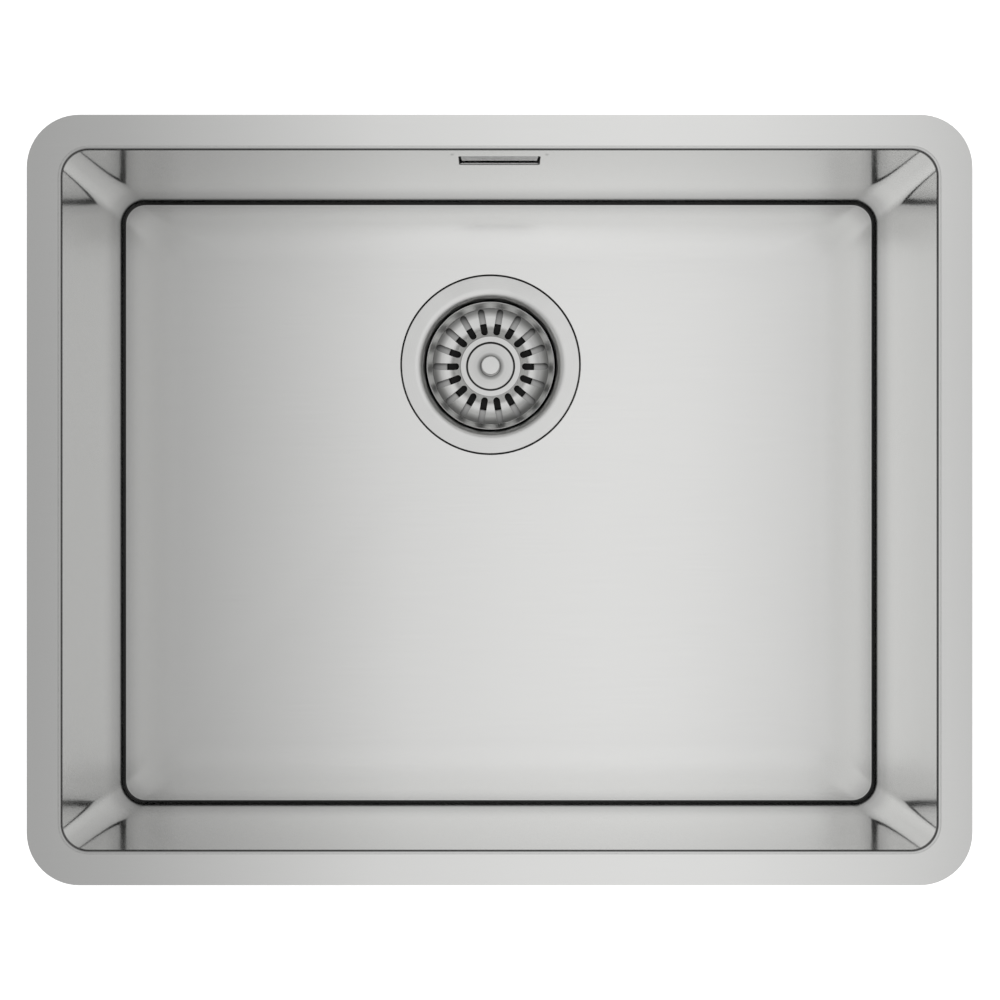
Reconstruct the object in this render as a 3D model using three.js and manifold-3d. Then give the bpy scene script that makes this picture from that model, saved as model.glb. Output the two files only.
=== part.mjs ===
// Undermount kitchen sink: a pressed steel bowl, a basket strainer waste and a piped overflow.
// Millimetres, +Z up. The origin is the middle of the rim's top face, which bonds to the worktop.
// +Y is the back wall, which holds the overflow. The waste stands off-centre, towards the back.
import * as THREE from "three";
import { mergeVertices } from "three/addons/utils/BufferGeometryUtils.js";
import Module from "manifold-3d";

const wasm = await Module();
wasm.setup();

// ---------- Driving dimensions ----------

// Bowl and rim, one pressing
const bowlLength = 500; // inside
const bowlWidth = 400;
const bowlDepth = 200;
const rimBreadth = 20; // from the bowl's inner face to the rim's edge
const rimCorner = 30;
const bowlCorner = 15;
const sheet = 1; // steel of the bowl
const rimBend = 2; // rounded edge between rim and wall
const floorBend = 5; // fillet between wall and floor
const floorBand = 14; // level strip round the floor
const floorBandCorner = 9;
const floorFall = 1.5; // from the strip down to the waste

// Waste
const wasteX = -5.5;
const wasteFromBack = 108; // from the back wall's inner face
const flangeRadius = 59.4;
const flangeBreadth = 15.1; // from its edge to the inside of the cup
const recessClearance = 0.5;
const recessDepth = 3;
const cupSheet = 0.7;
const cupShoulder = 6.5; // curve from flange to cup wall
const cupDepth = 25.5;
const cupBottomBend = 4;
const holeClearance = 0.8; // under the cup's shoulder to the hole in the bowl
const seatRadius = 26.5; // edge of the drain that the seal closes
const hubRadius = 12;
const hubDrop = 9.5; // hub below the seat
const drainHoles = 8;
const drainHoleRadius = 4;
const gasketThickness = 2;

// Strainer basket
const basketSheet = 0.7;
const basketGap = 1.1; // basket lip to cup wall
const lipDepth = 8.8; // lip below the flange
const lipRoll = 0.5; // half the breadth of the rolled edge
const collarBreadth = 4; // the steep collar, from the lip in to the slots
const collarDepth = 14.6;
const valleyRadius = 28; // lowest ring of the dish
const valleyDepth = 19.4;
const slotCount = 18;
const slotWidth = 4.5;
const slotInner = 21.2; // radius where a slot starts
const slotMargin = 0.4; // from a slot's outer end to the collar
const hubRingOuter = 20.6;
const hubRingInner = 16.3;
const hubRingDepth = 15.2;
const hubRingRound = 0.4;
const hubPocket = 2.5; // pocket of the knob's plate

// Plug
const knobPlateRadius = 15.5;
const knobPlateThickness = 1.6;
const knobRadius = 6.3;
const knobNeckRadius = 4.4;
const knobHeight = 10.8;
const knobRound = 0.8;
const stemRadius = 3;
const sealRadius = 29.4;
const sealThickness = 2.5;
const sealLip = 2;
const backingRadius = 18;
const backingThickness = 1.2;
const stemNutFlats = 10;
const stemNutHeight = 4.2;
const sleeveWall = 0.9;
const sleeveLength = 10;
const stemTip = 1.5;

// Centre screw and waste body
const screwRadius = 5;
const screwHeadRadius = 9;
const screwHeadHeight = 4;
const screwLength = 36;
const bodyWall = 2.8;
const bodyAnnulus = 4.5; // water way between cup and body
const bodyFlangeInset = 0.9; // behind the edge of the steel flange
const bodyFlangeThickness = 4;
const bodyDepth = 32; // straight wall below the flange
const funnelDepth = 16;
const outletRadius = 23.9; // outside of an inch and a half pipe thread
const outletWall = 3.4;
const outletLength = 36;
const bossRadius = 9.5;
const bossLength = 22;
const bossRibs = 4;
const bossRibThickness = 3;
const insertLength = 9;
const insertWall = 1.9;

// Overflow opening in the back wall
const overflowX = 0;
const overflowTop = 22.5; // below the rim
const overflowWidth = 47.5;
const overflowHeight = 29;
const overflowCorner = 2;
const lipReturn = 4; // pressed lip round the opening, behind the wall's face
const lipChamfer = 0.8;
const coverHeight = 16.5;
const coverTopGap = 0.8;
const coverSideGap = 0.4;
const coverTaper = 1.2; // each side, at the foot
const coverSheet = 0.8;
const coverRecess = 2.6; // how far its head lies behind its foot
const coverFootGap = 0.4;
const coverFootReturn = 3.5;
const coverLegWidth = 6;
const coverLegThickness = 1.2;
const coverLegSpacing = 30;

// Overflow housing, behind the wall
const studSpacing = 55;
const studBelowRim = 16.3;
const studRadius = 2;
const studLength = 12;
const studNutFlats = 7;
const studNutHeight = 3.2;
const washerRadius = 4.4;
const washerThickness = 0.8;
const housingWall = 2.2;
const housingInset = 2.5; // inner room narrower than the opening, each side
const housingDepth = 21;
const housingFlange = 3;
const housingMargin = 6.5; // flange past the studs
const housingCorner = 6;
const funnelFall = 9; // sloping foot of the housing, down to the spigot
const shelfDepth = 3;

// Overflow pipe
const spigotRadius = 8.5; // outside
const spigotWall = 1.8;
const spigotLength = 18;
const branchRadius = 11.5;
const branchReach = 14; // branch beyond the body wall
const branchBelowFlange = 24;
const hoseWall = 1.2;
const hoseBend = 34; // from the corner of its route to where the bend starts
const ribHeight = 1.8;
const ribPitch = 5;
const cuffLength = 15;
const cuffThickening = 0.5;
const clampWall = 1.8;
const clampLength = 14;
const clampGrips = 8;

// Sound pads glued to the outside of the bowl
const padThickness = 2;
const padMargin = 25; // from the bowl's edges and from the waste
const padCorner = 10;
const wallPadTop = 75; // below the rim

// Fits
const fitGap = 0.3; // clear space between two pieces that seat on each other
const glueLine = 0.1;
const overlap = 1; // how far pieces of one solid run into each other before they are joined
const sharpCorner = 0.5; // least radius of a corner that an offset closes

// Facets
const roundSteps = 36;
const basketSteps = slotCount * 2;
const basketBendSteps = 3;
const dishSteps = 28;
const smallSteps = 16;
const hoseSteps = 8;
const boreRingEvery = 3; // ribs to each ring of the bore
const notchSteps = 6;
const bendSteps = 2;
const cornerSteps = 3;
const fullTurn = Math.PI * 2;

// ---------- Materials ----------

function finish(color, metalness, roughness) {
  return new THREE.MeshStandardMaterial({ color, metalness, roughness });
}
const satinSteel = finish(0xc9c9c7, 1, 0.3);
const brightSteel = finish(0xd2d2d0, 1, 0.18);
const zincSteel = finish(0xb9bcc0, 1, 0.35);
const brass = finish(0xc7a35a, 1, 0.3);
const blackRubber = finish(0x17181a, 0, 0.7);
const blackPlastic = finish(0x1d1e20, 0, 0.45);
const greyPlastic = finish(0x8e9092, 0, 0.5);
const padRubber = finish(0x3a3b3d, 0, 0.9);

// ---------- Solids ----------

// A closed geometry as a solid that can be joined and cut
function solidOf(geometry) {
  const bare = geometry.index ? geometry.toNonIndexed() : geometry.clone();
  for (const name of Object.keys(bare.attributes)) {
    if (name !== "position") bare.deleteAttribute(name);
  }
  const merged = mergeVertices(bare, 1e-4);
  return new wasm.Manifold(
    new wasm.Mesh({
      numProp: 3,
      vertProperties: merged.attributes.position.array,
      triVerts: new Uint32Array(merged.index.array),
    }),
  );
}

function geometryOf(solid) {
  const mesh = solid.getMesh();
  const positions = new Float32Array(mesh.numVert * 3);
  for (let i = 0; i < mesh.numVert; i += 1) {
    const first = i * mesh.numProp;
    positions.set(mesh.vertProperties.subarray(first, first + 3), i * 3);
  }
  const geometry = new THREE.BufferGeometry();
  geometry.setAttribute("position", new THREE.BufferAttribute(positions, 3));
  geometry.setIndex(new THREE.BufferAttribute(mesh.triVerts, 1));
  geometry.computeVertexNormals();
  return geometry;
}

function joined(solids) {
  return solids.reduce((whole, next) => whole.add(next));
}

// Revolves a closed outline of (radius, height) points about Z
function turned(outline, steps = roundSteps) {
  const loop = THREE.ShapeUtils.isClockWise(outline) ? [...outline].reverse() : outline;
  const after = (i) => loop[(i + 1) % loop.length];
  const start = loop.findIndex((point, i) => point.x === 0 && after(i).x !== 0);
  const profile = start < 0 ? [...loop, loop[0]] : [...loop.slice(start), ...loop.slice(0, start)];
  const lathe = new THREE.LatheGeometry(profile, steps);
  lathe.rotateX(Math.PI / 2);
  return solidOf(lathe);
}

function points(pairs) {
  return pairs.map(([x, y]) => new THREE.Vector2(x, y));
}

// A tube or disc between two heights
function ring(inner, outer, low, high, steps = roundSteps) {
  return turned(points([[inner, low], [outer, low], [outer, high], [inner, high]]), steps);
}

function disc(radius, low, high, steps = roundSteps) {
  return ring(0, radius, low, high, steps);
}

// The closed outline of a sheet that follows an open path, with its thickness on the path's right
function sheetOutline(path, thickness, steps = bendSteps) {
  const face = path.getPoints(steps);
  const clean = face.filter((p, i) => i === 0 || p.distanceTo(face[i - 1]) > 1e-6);
  const back = clean.map((point, i) => {
    const before = clean[Math.max(i - 1, 0)];
    const after = clean[Math.min(i + 1, clean.length - 1)];
    const into = point.clone().sub(before).normalize();
    const out = after.clone().sub(point).normalize();
    const along = into.clone().add(out).normalize();
    const mitre = Math.max(Math.sqrt((1 + into.dot(out)) / 2), 0.5);
    const reach = i === 0 || i === clean.length - 1 ? thickness : thickness / mitre;
    return new THREE.Vector2(along.y, -along.x).multiplyScalar(reach).add(point);
  });
  return [...clean, ...back.reverse()];
}

// Extrudes a shape from one height to another
function prism(shape, low, high, curveSegments = cornerSteps) {
  const geometry = new THREE.ExtrudeGeometry(shape, {
    depth: high - low,
    bevelEnabled: false,
    curveSegments,
  });
  geometry.translate(0, 0, low);
  return solidOf(geometry);
}

function roundedRectangle(left, right, bottom, top, radius) {
  const quarter = Math.PI / 2;
  const shape = new THREE.Shape();
  shape.absarc(right - radius, top - radius, radius, 0, quarter);
  shape.absarc(left + radius, top - radius, radius, quarter, 2 * quarter);
  shape.absarc(left + radius, bottom + radius, radius, 2 * quarter, 3 * quarter);
  shape.absarc(right - radius, bottom + radius, radius, 3 * quarter, 4 * quarter);
  shape.closePath();
  return shape;
}

// A polygon whose corners are rounded off by curves that start a given distance before them
function softPolygon(corners, reach) {
  const shape = new THREE.Shape();
  corners.forEach((corner, i) => {
    const before = corners.at(i - 1).clone().sub(corner).setLength(reach).add(corner);
    const next = corners[(i + 1) % corners.length];
    const after = next.clone().sub(corner).setLength(reach).add(corner);
    if (i === 0) shape.moveTo(before.x, before.y);
    else shape.lineTo(before.x, before.y);
    shape.quadraticCurveTo(corner.x, corner.y, after.x, after.y);
  });
  shape.closePath();
  return shape;
}

// A prism of an outline drawn in X and Z, between two distances along Y
function wallPrism(shape, near, far) {
  return prism(shape, -far, -near).rotate([90, 0, 0]);
}

function box(left, right, front, back, low, high) {
  const geometry = new THREE.BoxGeometry(right - left, back - front, high - low);
  geometry.translate((left + right) / 2, (front + back) / 2, (low + high) / 2);
  return solidOf(geometry);
}

// Joins loops of equal length, each a list of Vector3, into one closed skin with flat ends
function lofted(loops) {
  const count = loops[0].length;
  const middle = (loop) => loop.reduce((sum, p) => sum.add(p), new THREE.Vector3()).divideScalar(count);
  const vertices = [...loops.flat(), middle(loops[0]), middle(loops.at(-1))];
  const firstMiddle = vertices.length - 2;
  const lastMiddle = vertices.length - 1;
  const lastLoop = (loops.length - 1) * count;
  const faces = [];
  for (let i = 0; i < count; i += 1) {
    const next = (i + 1) % count;
    faces.push(firstMiddle, next, i);
    faces.push(lastMiddle, lastLoop + i, lastLoop + next);
    for (let row = 0; row < lastLoop; row += count) {
      faces.push(row + i, row + next, row + count + next);
      faces.push(row + i, row + count + next, row + count + i);
    }
  }
  const geometry = new THREE.BufferGeometry().setFromPoints(vertices);
  geometry.setIndex(faces);
  return solidOf(geometry);
}

function hexagon(flats) {
  const corner = flats / Math.sqrt(3);
  const corners = Array.from({ length: 6 }, (_, i) => {
    return [corner * Math.cos((i * fullTurn) / 6), corner * Math.sin((i * fullTurn) / 6)];
  });
  return new THREE.Shape(points(corners));
}

// ---------- Bowl ----------

const halfLength = bowlLength / 2;
const halfWidth = bowlWidth / 2;
const wasteY = halfWidth - wasteFromBack;
const cupRadius = flangeRadius - flangeBreadth; // inside
const flangeTop = -(bowlDepth + floorFall);
const recessRadius = flangeRadius + recessClearance;
const recessFloor = flangeTop - recessDepth;
const aboveRim = 5;

// The hole clears the underside of the cup's shoulder where that passes the recess
const shoulderRadius = cupRadius + cupShoulder;
const shoulderUnder = cupShoulder - cupSheet;
const shoulderRise = Math.min(Math.max(cupShoulder - recessDepth, 0), shoulderUnder);
const shoulderAtHole = shoulderRadius - Math.sqrt(shoulderUnder ** 2 - shoulderRise ** 2);
const holeRadius = shoulderAtHole + holeClearance;

// One level of the bowl's skin, grown outwards from the wall's inner face
function level(growth, height) {
  const corner = Math.max(bowlCorner + growth, sharpCorner);
  const shape = roundedRectangle(
    -halfLength - growth,
    halfLength + growth,
    -halfWidth - growth,
    halfWidth + growth,
    corner,
  );
  const outline = shape.getPoints(cornerSteps).slice(0, -1);
  return outline.map((p) => new THREE.Vector3(p.x, p.y, height));
}

// Levels along the two bends and the wall of a skin that lies a given offset outside the inner face
function wallLevels(offset) {
  const levels = [];
  const edge = Math.max(rimBend - offset, 0);
  for (let i = 0; i <= bendSteps; i += 1) {
    const angle = (i / bendSteps) * (Math.PI / 2);
    const growth = Math.max(rimBend, offset) - edge * Math.sin(angle);
    levels.push(level(growth, -rimBend + edge * Math.cos(angle)));
    if (edge === 0) break;
  }
  const fillet = floorBend + offset;
  for (let i = 0; i <= bendSteps + 1; i += 1) {
    const angle = (i / (bendSteps + 1)) * (Math.PI / 2);
    const height = -(bowlDepth - floorBend) - fillet * Math.sin(angle);
    levels.push(level(fillet * Math.cos(angle) - floorBend, height));
  }
  return levels;
}

// The floor's shallow fall, from the level strip to the waste, on a skin at a given offset
function floorDish(offset) {
  const strip = roundedRectangle(
    -halfLength + floorBand,
    halfLength - floorBand,
    -halfWidth + floorBand,
    halfWidth - floorBand,
    floorBandCorner,
  );
  const corners = strip.getPoints(bendSteps).slice(0, -1);
  const waste = new THREE.Vector2(wasteX, wasteY);
  const rimPoints = [];
  corners.forEach((from, i) => {
    const to = corners[(i + 1) % corners.length];
    const a = from.clone().sub(waste);
    const b = to.clone().sub(waste);
    const turn = Math.atan2(a.cross(b), a.dot(b));
    const steps = Math.max(1, Math.ceil((Math.abs(turn) * dishSteps) / fullTurn));
    for (let k = 0; k < steps; k += 1) {
      const part = (turn * k) / steps;
      const ray = a.clone().rotateAround(new THREE.Vector2(), part);
      const edge = to.clone().sub(from);
      const reach = a.cross(edge) / ray.cross(edge);
      rimPoints.push(ray.multiplyScalar(reach).add(waste));
    }
  });
  const bottomRadius = recessRadius + offset - overlap;
  const atHeight = (height) => rimPoints.map((p) => new THREE.Vector3(p.x, p.y, height));
  const bottom = rimPoints.map((p) => {
    const towards = p.clone().sub(waste).setLength(bottomRadius).add(waste);
    return new THREE.Vector3(towards.x, towards.y, flangeTop - offset);
  });
  return lofted([bottom, atHeight(-bowlDepth - offset), atHeight(-bowlDepth - offset + overlap)]);
}

// Everything inside a skin at a given offset from the bowl's inner face, without the rim
function bowlSkin(offset, recess, top) {
  const levels = wallLevels(offset).reverse();
  const mouth = levels.at(-1).map((p) => new THREE.Vector3(p.x, p.y, top));
  const tub = lofted([...levels, mouth]);
  const well = disc(recessRadius + offset, recess - offset, -bowlDepth - offset + overlap);
  return joined([tub, floorDish(offset), well.translate([wasteX, wasteY, 0])]);
}

const openingLeft = overflowX - overflowWidth / 2;
const openingRight = overflowX + overflowWidth / 2;
const openingTop = -overflowTop;
const openingBottom = openingTop - overflowHeight;

function openingShape(grow) {
  return roundedRectangle(
    openingLeft - grow,
    openingRight + grow,
    openingBottom - grow,
    openingTop + grow,
    overflowCorner + grow,
  );
}

// The opening's chamfered front edge, widest at the wall's face
function openingChamfer() {
  const loopAt = (grow, y) => {
    const outline = openingShape(grow).getPoints(bendSteps).slice(0, -1);
    return outline.map((p) => new THREE.Vector3(p.x, y, p.y));
  };
  const deep = halfWidth + lipChamfer;
  const proud = halfWidth - overlap;
  return lofted([loopAt(0, deep), loopAt(lipChamfer, halfWidth), loopAt(lipChamfer, proud)]);
}

function makeBowl() {
  const rimX = halfLength + rimBreadth;
  const rimY = halfWidth + rimBreadth;
  const rim = prism(roundedRectangle(-rimX, rimX, -rimY, rimY, rimCorner), -sheet, 0);
  const outside = bowlSkin(sheet, recessFloor, -sheet / 2);
  const inside = bowlSkin(0, recessFloor, aboveRim);
  const wasteHole = disc(holeRadius, recessFloor - sheet - overlap, recessFloor + overlap);
  const wallFace = halfWidth;
  const lip = wallPrism(openingShape(sheet), wallFace + sheet / 2, wallFace + lipReturn);
  const opening = wallPrism(openingShape(0), wallFace - overlap, wallFace + lipReturn + overlap);
  return rim
    .add(outside)
    .add(lip)
    .subtract(inside)
    .subtract(wasteHole.translate([wasteX, wasteY, 0]))
    .subtract(opening)
    .subtract(openingChamfer());
}

// ---------- Sound pads ----------

// A pad is what a straight cutter leaves of a layer that follows the bowl's outside
const padInner = sheet + glueLine;
const padLayer = bowlSkin(padInner + padThickness, recessFloor, -rimBend).subtract(
  bowlSkin(padInner, recessFloor, -rimBend + overlap),
);
const padReach = padThickness + 3 * overlap;

function floorPad(left, right, front, back) {
  const shape = roundedRectangle(left, right, front, back, padCorner);
  const low = flangeTop - padInner - padReach;
  return padLayer.intersect(prism(shape, low, -bowlDepth + overlap));
}

function wallPad(left, right, low, high, front, back) {
  const shape = roundedRectangle(left, right, low, high, padCorner);
  return padLayer.intersect(wallPrism(shape, front, back));
}

// The same for the short walls, where the cutter runs along X
function sidePad(front, back, low, high, near, far) {
  const shape = roundedRectangle(front, back, low, high, padCorner);
  const cutter = wallPrism(shape, near, far).rotate([0, 0, -90]);
  return padLayer.intersect(cutter);
}

// ---------- Waste: heights below are measured from the top of the flange ----------

const seatHeight = -cupDepth;
const hubHeight = seatHeight - hubDrop;

function makeCup() {
  const path = new THREE.Path();
  path.moveTo(flangeRadius, -cupSheet / 2);
  path.lineTo(flangeRadius - cupSheet / 2, 0);
  path.lineTo(shoulderRadius, 0);
  path.absarc(shoulderRadius, -cupShoulder, cupShoulder, Math.PI / 2, Math.PI, false);
  path.lineTo(cupRadius, seatHeight + cupBottomBend);
  const bend = cupRadius - cupBottomBend;
  path.absarc(bend, seatHeight + cupBottomBend, cupBottomBend, 0, -Math.PI / 2, true);
  path.lineTo(seatRadius, seatHeight);
  path.lineTo(hubRadius, hubHeight);
  path.lineTo(screwRadius + fitGap, hubHeight);
  const outline = sheetOutline(path, -cupSheet);
  const cup = turned(outline);
  const holePitch = (seatRadius + hubRadius) / 2;
  const holes = Array.from({ length: drainHoles }, (_, i) => {
    const angle = (i * fullTurn) / drainHoles;
    const hole = disc(drainHoleRadius, hubHeight - overlap - cupSheet, seatHeight, hoseSteps);
    return hole.translate([holePitch * Math.cos(angle), holePitch * Math.sin(angle), 0]);
  });
  return cup.subtract(joined(holes));
}

const flangeGasketTop = -cupSheet - fitGap;
const flangeGasketFoot = -recessDepth + glueLine;

function makeFlangeGasket() {
  return ring(shoulderRadius + fitGap, flangeRadius - overlap, flangeGasketFoot, flangeGasketTop);
}

const bodyGasketTop = -recessDepth - sheet - glueLine;
const bodyGasketFoot = bodyGasketTop - gasketThickness;
const bodyTop = bodyGasketFoot - glueLine;
const bodyMouth = holeRadius;
const bodyFlangeRadius = flangeRadius - bodyFlangeInset;

function makeBodyGasket() {
  return ring(bodyMouth, bodyFlangeRadius - overlap, bodyGasketFoot, bodyGasketTop);
}

const bodyInner = cupRadius + cupSheet + bodyAnnulus;
const bodyFlangeFoot = bodyTop - bodyFlangeThickness;
const bodyFoot = bodyFlangeFoot - bodyDepth;
const outletTop = bodyFoot - funnelDepth;
const outletFoot = outletTop - outletLength;
const outletBore = outletRadius - outletWall;
const screwFoot = hubHeight - screwLength;
const insertFoot = screwFoot - overlap;
const insertTop = insertFoot + insertLength;
const bossTop = insertFoot + bossLength;
const insertRadius = screwRadius + fitGap + insertWall;
const bossBore = screwRadius + fitGap;
const branchHeight = -branchBelowFlange;
const spigotBore = spigotRadius - spigotWall;
const bodyOuter = bodyInner + bodyWall;
const branchEnd = bodyOuter + branchReach;

// A round pipe along +Y at the height of the branch
function branchPipe(radius, from, to) {
  return disc(radius, from, to, smallSteps).rotate([-90, 0, 0]).translate([0, 0, branchHeight]);
}

function makeWasteBody() {
  const shell = turned(
    points([
      [bodyMouth, bodyTop],
      [bodyFlangeRadius, bodyTop],
      [bodyFlangeRadius, bodyFlangeFoot],
      [bodyOuter, bodyFlangeFoot],
      [bodyOuter, bodyFoot],
      [outletRadius + bodyWall, outletTop],
      [outletRadius, outletTop - bodyWall],
      [outletRadius, outletFoot],
      [outletBore, outletFoot],
      [outletBore, outletTop],
      [bodyInner, bodyFoot + bodyWall],
      [bodyInner, bodyFlangeFoot + overlap],
      [bodyMouth, bodyFlangeFoot + 2 * overlap],
    ]),
  );
  const boss = disc(bossRadius, insertFoot - overlap, bossTop, smallSteps);
  const ribs = Array.from({ length: bossRibs / 2 }, (_, i) => {
    const reach = outletBore + overlap;
    const half = bossRibThickness / 2;
    const rib = box(-reach, reach, -half, half, insertFoot, outletTop - overlap);
    return rib.rotate([0, 0, (i * 360) / bossRibs + 180 / bossRibs]);
  });
  const pocket = disc(insertRadius + fitGap, insertFoot - 2 * overlap, insertTop + glueLine, smallSteps);
  const bore = disc(bossBore, insertFoot, bossTop + overlap, smallSteps);
  const branch = branchPipe(branchRadius, bodyInner + overlap, branchEnd);
  const spigot = branchPipe(spigotRadius, bodyInner + overlap, branchEnd + spigotLength);
  const waterWay = branchPipe(spigotBore, bodyInner - overlap, branchEnd + spigotLength + overlap);
  return joined([shell, boss, ...ribs, branch, spigot])
    .subtract(pocket)
    .subtract(bore)
    .subtract(waterWay);
}

function makeInsert() {
  return ring(screwRadius + glueLine, insertRadius, insertFoot, insertTop, smallSteps);
}

const stemBore = stemRadius + sleeveWall;
const screwBoreDepth = sleeveLength + stemTip + 2 * overlap;

function makeScrew() {
  const headTop = hubHeight + fitGap + screwHeadHeight;
  const bevel = screwHeadHeight / 4;
  return turned(
    points([
      [0, screwFoot],
      [screwRadius - bevel, screwFoot],
      [screwRadius, screwFoot + bevel],
      [screwRadius, hubHeight + fitGap],
      [screwHeadRadius, hubHeight + fitGap],
      [screwHeadRadius, headTop - bevel],
      [screwHeadRadius - bevel, headTop],
      [stemBore, headTop],
      [stemBore, headTop - screwBoreDepth],
      [0, headTop - screwBoreDepth],
    ]),
    smallSteps,
  );
}

// ---------- Strainer basket and plug, in the same heights ----------

const lipRadius = cupRadius - basketGap;
const collarRadius = lipRadius - collarBreadth;
const slotOuter = collarRadius - slotMargin;
const basketLow = -valleyDepth;
const pocketFloor = -hubRingDepth - hubPocket;
const stemClearance = stemRadius + glueLine;

// Rolled lip, steep collar, a dish with its lowest ring half way in, and a raised ring round the knob
function basketPath() {
  const bank = (collarRadius - valleyRadius) / 2;
  const slope = (valleyRadius - hubRingOuter) / 2;
  const path = new THREE.Path();
  path.moveTo(lipRadius, -lipDepth - lipRoll);
  path.lineTo(lipRadius - lipRoll, -lipDepth);
  path.lineTo(lipRadius - 2 * lipRoll, -lipDepth - lipRoll);
  path.lineTo(collarRadius, -collarDepth);
  path.quadraticCurveTo(valleyRadius + bank, basketLow, valleyRadius, basketLow);
  path.bezierCurveTo(
    valleyRadius - slope,
    basketLow,
    hubRingOuter + slope,
    -hubRingDepth,
    hubRingOuter,
    -hubRingDepth,
  );
  path.lineTo(hubRingInner + hubRingRound, -hubRingDepth);
  path.lineTo(hubRingInner, -hubRingDepth - hubRingRound);
  path.lineTo(hubRingInner, pocketFloor);
  path.lineTo(stemClearance, pocketFloor);
  return path;
}

function slotShape() {
  const end = slotWidth / 2;
  const quarter = Math.PI / 2;
  const shape = new THREE.Shape();
  shape.absarc(slotOuter - end, 0, end, -quarter, quarter);
  shape.absarc(slotInner + end, 0, end, quarter, 3 * quarter);
  shape.closePath();
  return shape;
}

function makeBasket() {
  const dish = turned(sheetOutline(basketPath(), -basketSheet, basketBendSteps), basketSteps);
  const slot = prism(slotShape(), basketLow - 2 * basketSheet, 0, bendSteps);
  const slots = Array.from({ length: slotCount }, (_, i) => slot.rotate([0, 0, (i * 360) / slotCount]));
  return dish.subtract(joined(slots));
}

const knobFoot = pocketFloor + fitGap;
const knobPlateTop = knobFoot + knobPlateThickness;

function makeKnob() {
  const top = knobPlateTop + knobHeight;
  const bevel = knobPlateThickness / 4;
  return turned(
    points([
      [0, knobFoot],
      [knobPlateRadius, knobFoot],
      [knobPlateRadius, knobPlateTop - bevel],
      [knobPlateRadius - bevel, knobPlateTop],
      [knobNeckRadius + knobRound, knobPlateTop],
      [knobNeckRadius, knobPlateTop + knobRound],
      [knobNeckRadius, top - knobHeight / 2],
      [knobRadius, top - knobHeight / 3],
      [knobRadius, top - knobRound],
      [knobRadius - knobRound, top],
      [0, top],
    ]),
    smallSteps,
  );
}

const sealTop = basketLow - basketSheet - fitGap;
const sealUnder = sealTop - sealThickness;
const sealFoot = seatHeight + fitGap;
const sealBossTop = pocketFloor - basketSheet - fitGap;
const backingTop = sealUnder - glueLine;
const backingFoot = backingTop - backingThickness;
const stemNutTop = backingFoot - glueLine;
const stemNutFoot = stemNutTop - stemNutHeight;
const sleeveTop = hubHeight + screwHeadHeight - overlap;
const sleeveFoot = sleeveTop - sleeveLength;

function makeSeal() {
  const bossEdge = hubRingInner - fitGap;
  return turned(
    points([
      [stemClearance, sealBossTop],
      [bossEdge, sealBossTop],
      [bossEdge, sealTop],
      [sealRadius - sealLip / 2, sealTop],
      [sealRadius, sealUnder + sealThickness / 2],
      [sealRadius, sealFoot],
      [sealRadius - sealLip, sealFoot],
      [sealRadius - sealLip, sealUnder],
      [stemClearance, sealUnder],
    ]),
  );
}

function makeBacking() {
  return ring(stemClearance, backingRadius, backingFoot, backingTop, smallSteps);
}

function makeStemNut() {
  const nut = prism(hexagon(stemNutFlats), stemNutFoot, stemNutTop);
  return nut.subtract(disc(stemClearance, stemNutFoot - overlap, stemNutTop + overlap, smallSteps));
}

function makeStem() {
  const waist = stemRadius - glueLine * 3;
  return turned(
    points([
      [0, knobFoot - glueLine],
      [stemRadius, knobFoot - glueLine],
      [stemRadius, sleeveTop + fitGap],
      [waist, sleeveTop + fitGap],
      [waist, sleeveFoot - fitGap],
      [stemRadius + sleeveWall / 2, sleeveFoot - fitGap],
      [stemRadius, sleeveFoot - fitGap - stemTip],
      [0, sleeveFoot - fitGap - stemTip],
    ]),
    smallSteps,
  );
}

// A split sleeve that grips the bore of the centre screw
function makeSleeve() {
  const outer = stemBore - fitGap;
  const inner = stemRadius - glueLine;
  const tube = ring(inner, outer, sleeveFoot, sleeveTop, smallSteps);
  const slit = sleeveWall / 2;
  return tube.subtract(box(0, 2 * outer, -slit, slit, sleeveFoot - overlap, sleeveTop - overlap));
}

// ---------- Overflow: X along the wall, Y out through it, from the middle of the opening's head ----------

const wallBack = halfWidth + sheet;
const housingFace = wallBack + glueLine + gasketThickness + glueLine;
const housingBoxFace = housingFace + housingFlange;
const housingBack = housingFace + housingDepth;
const studHeight = -studBelowRim;
const lipOutside = sheet + fitGap;
const roomLeft = openingLeft + housingInset;
const roomRight = openingRight - housingInset;
const roomTop = openingTop - housingInset;
const slopeTop = openingBottom - housingInset;
const roomBottom = slopeTop - funnelFall;
const spigotY = (housingBoxFace + housingBack) / 2;
const spigotTop = roomBottom - housingWall;
const spigotFoot = spigotTop - spigotLength;

// The housing's outline seen from behind: a box over a sloping foot that ends at the spigot
function housingShape(grow) {
  const neck = spigotRadius + grow;
  const corners = points([
    [roomLeft - grow, roomTop + grow],
    [roomLeft - grow, slopeTop],
    [overflowX - neck, roomBottom - grow],
    [overflowX + neck, roomBottom - grow],
    [roomRight + grow, slopeTop],
    [roomRight + grow, roomTop + grow],
  ]);
  return softPolygon(corners, overflowCorner + grow);
}

function flangeShape() {
  const half = studSpacing / 2 + housingMargin;
  const neck = spigotRadius + housingWall + housingMargin;
  const corners = points([
    [overflowX - half, studHeight + housingMargin],
    [overflowX - half, slopeTop],
    [overflowX - neck, spigotTop],
    [overflowX + neck, spigotTop],
    [overflowX + half, slopeTop],
    [overflowX + half, studHeight + housingMargin],
  ]);
  return softPolygon(corners, housingCorner);
}

function studHoles(radius, near, far) {
  const side = studSpacing / 2;
  return [-side, side].map((x) => wallDisc(radius, near, far, overflowX + x, studHeight));
}

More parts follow.
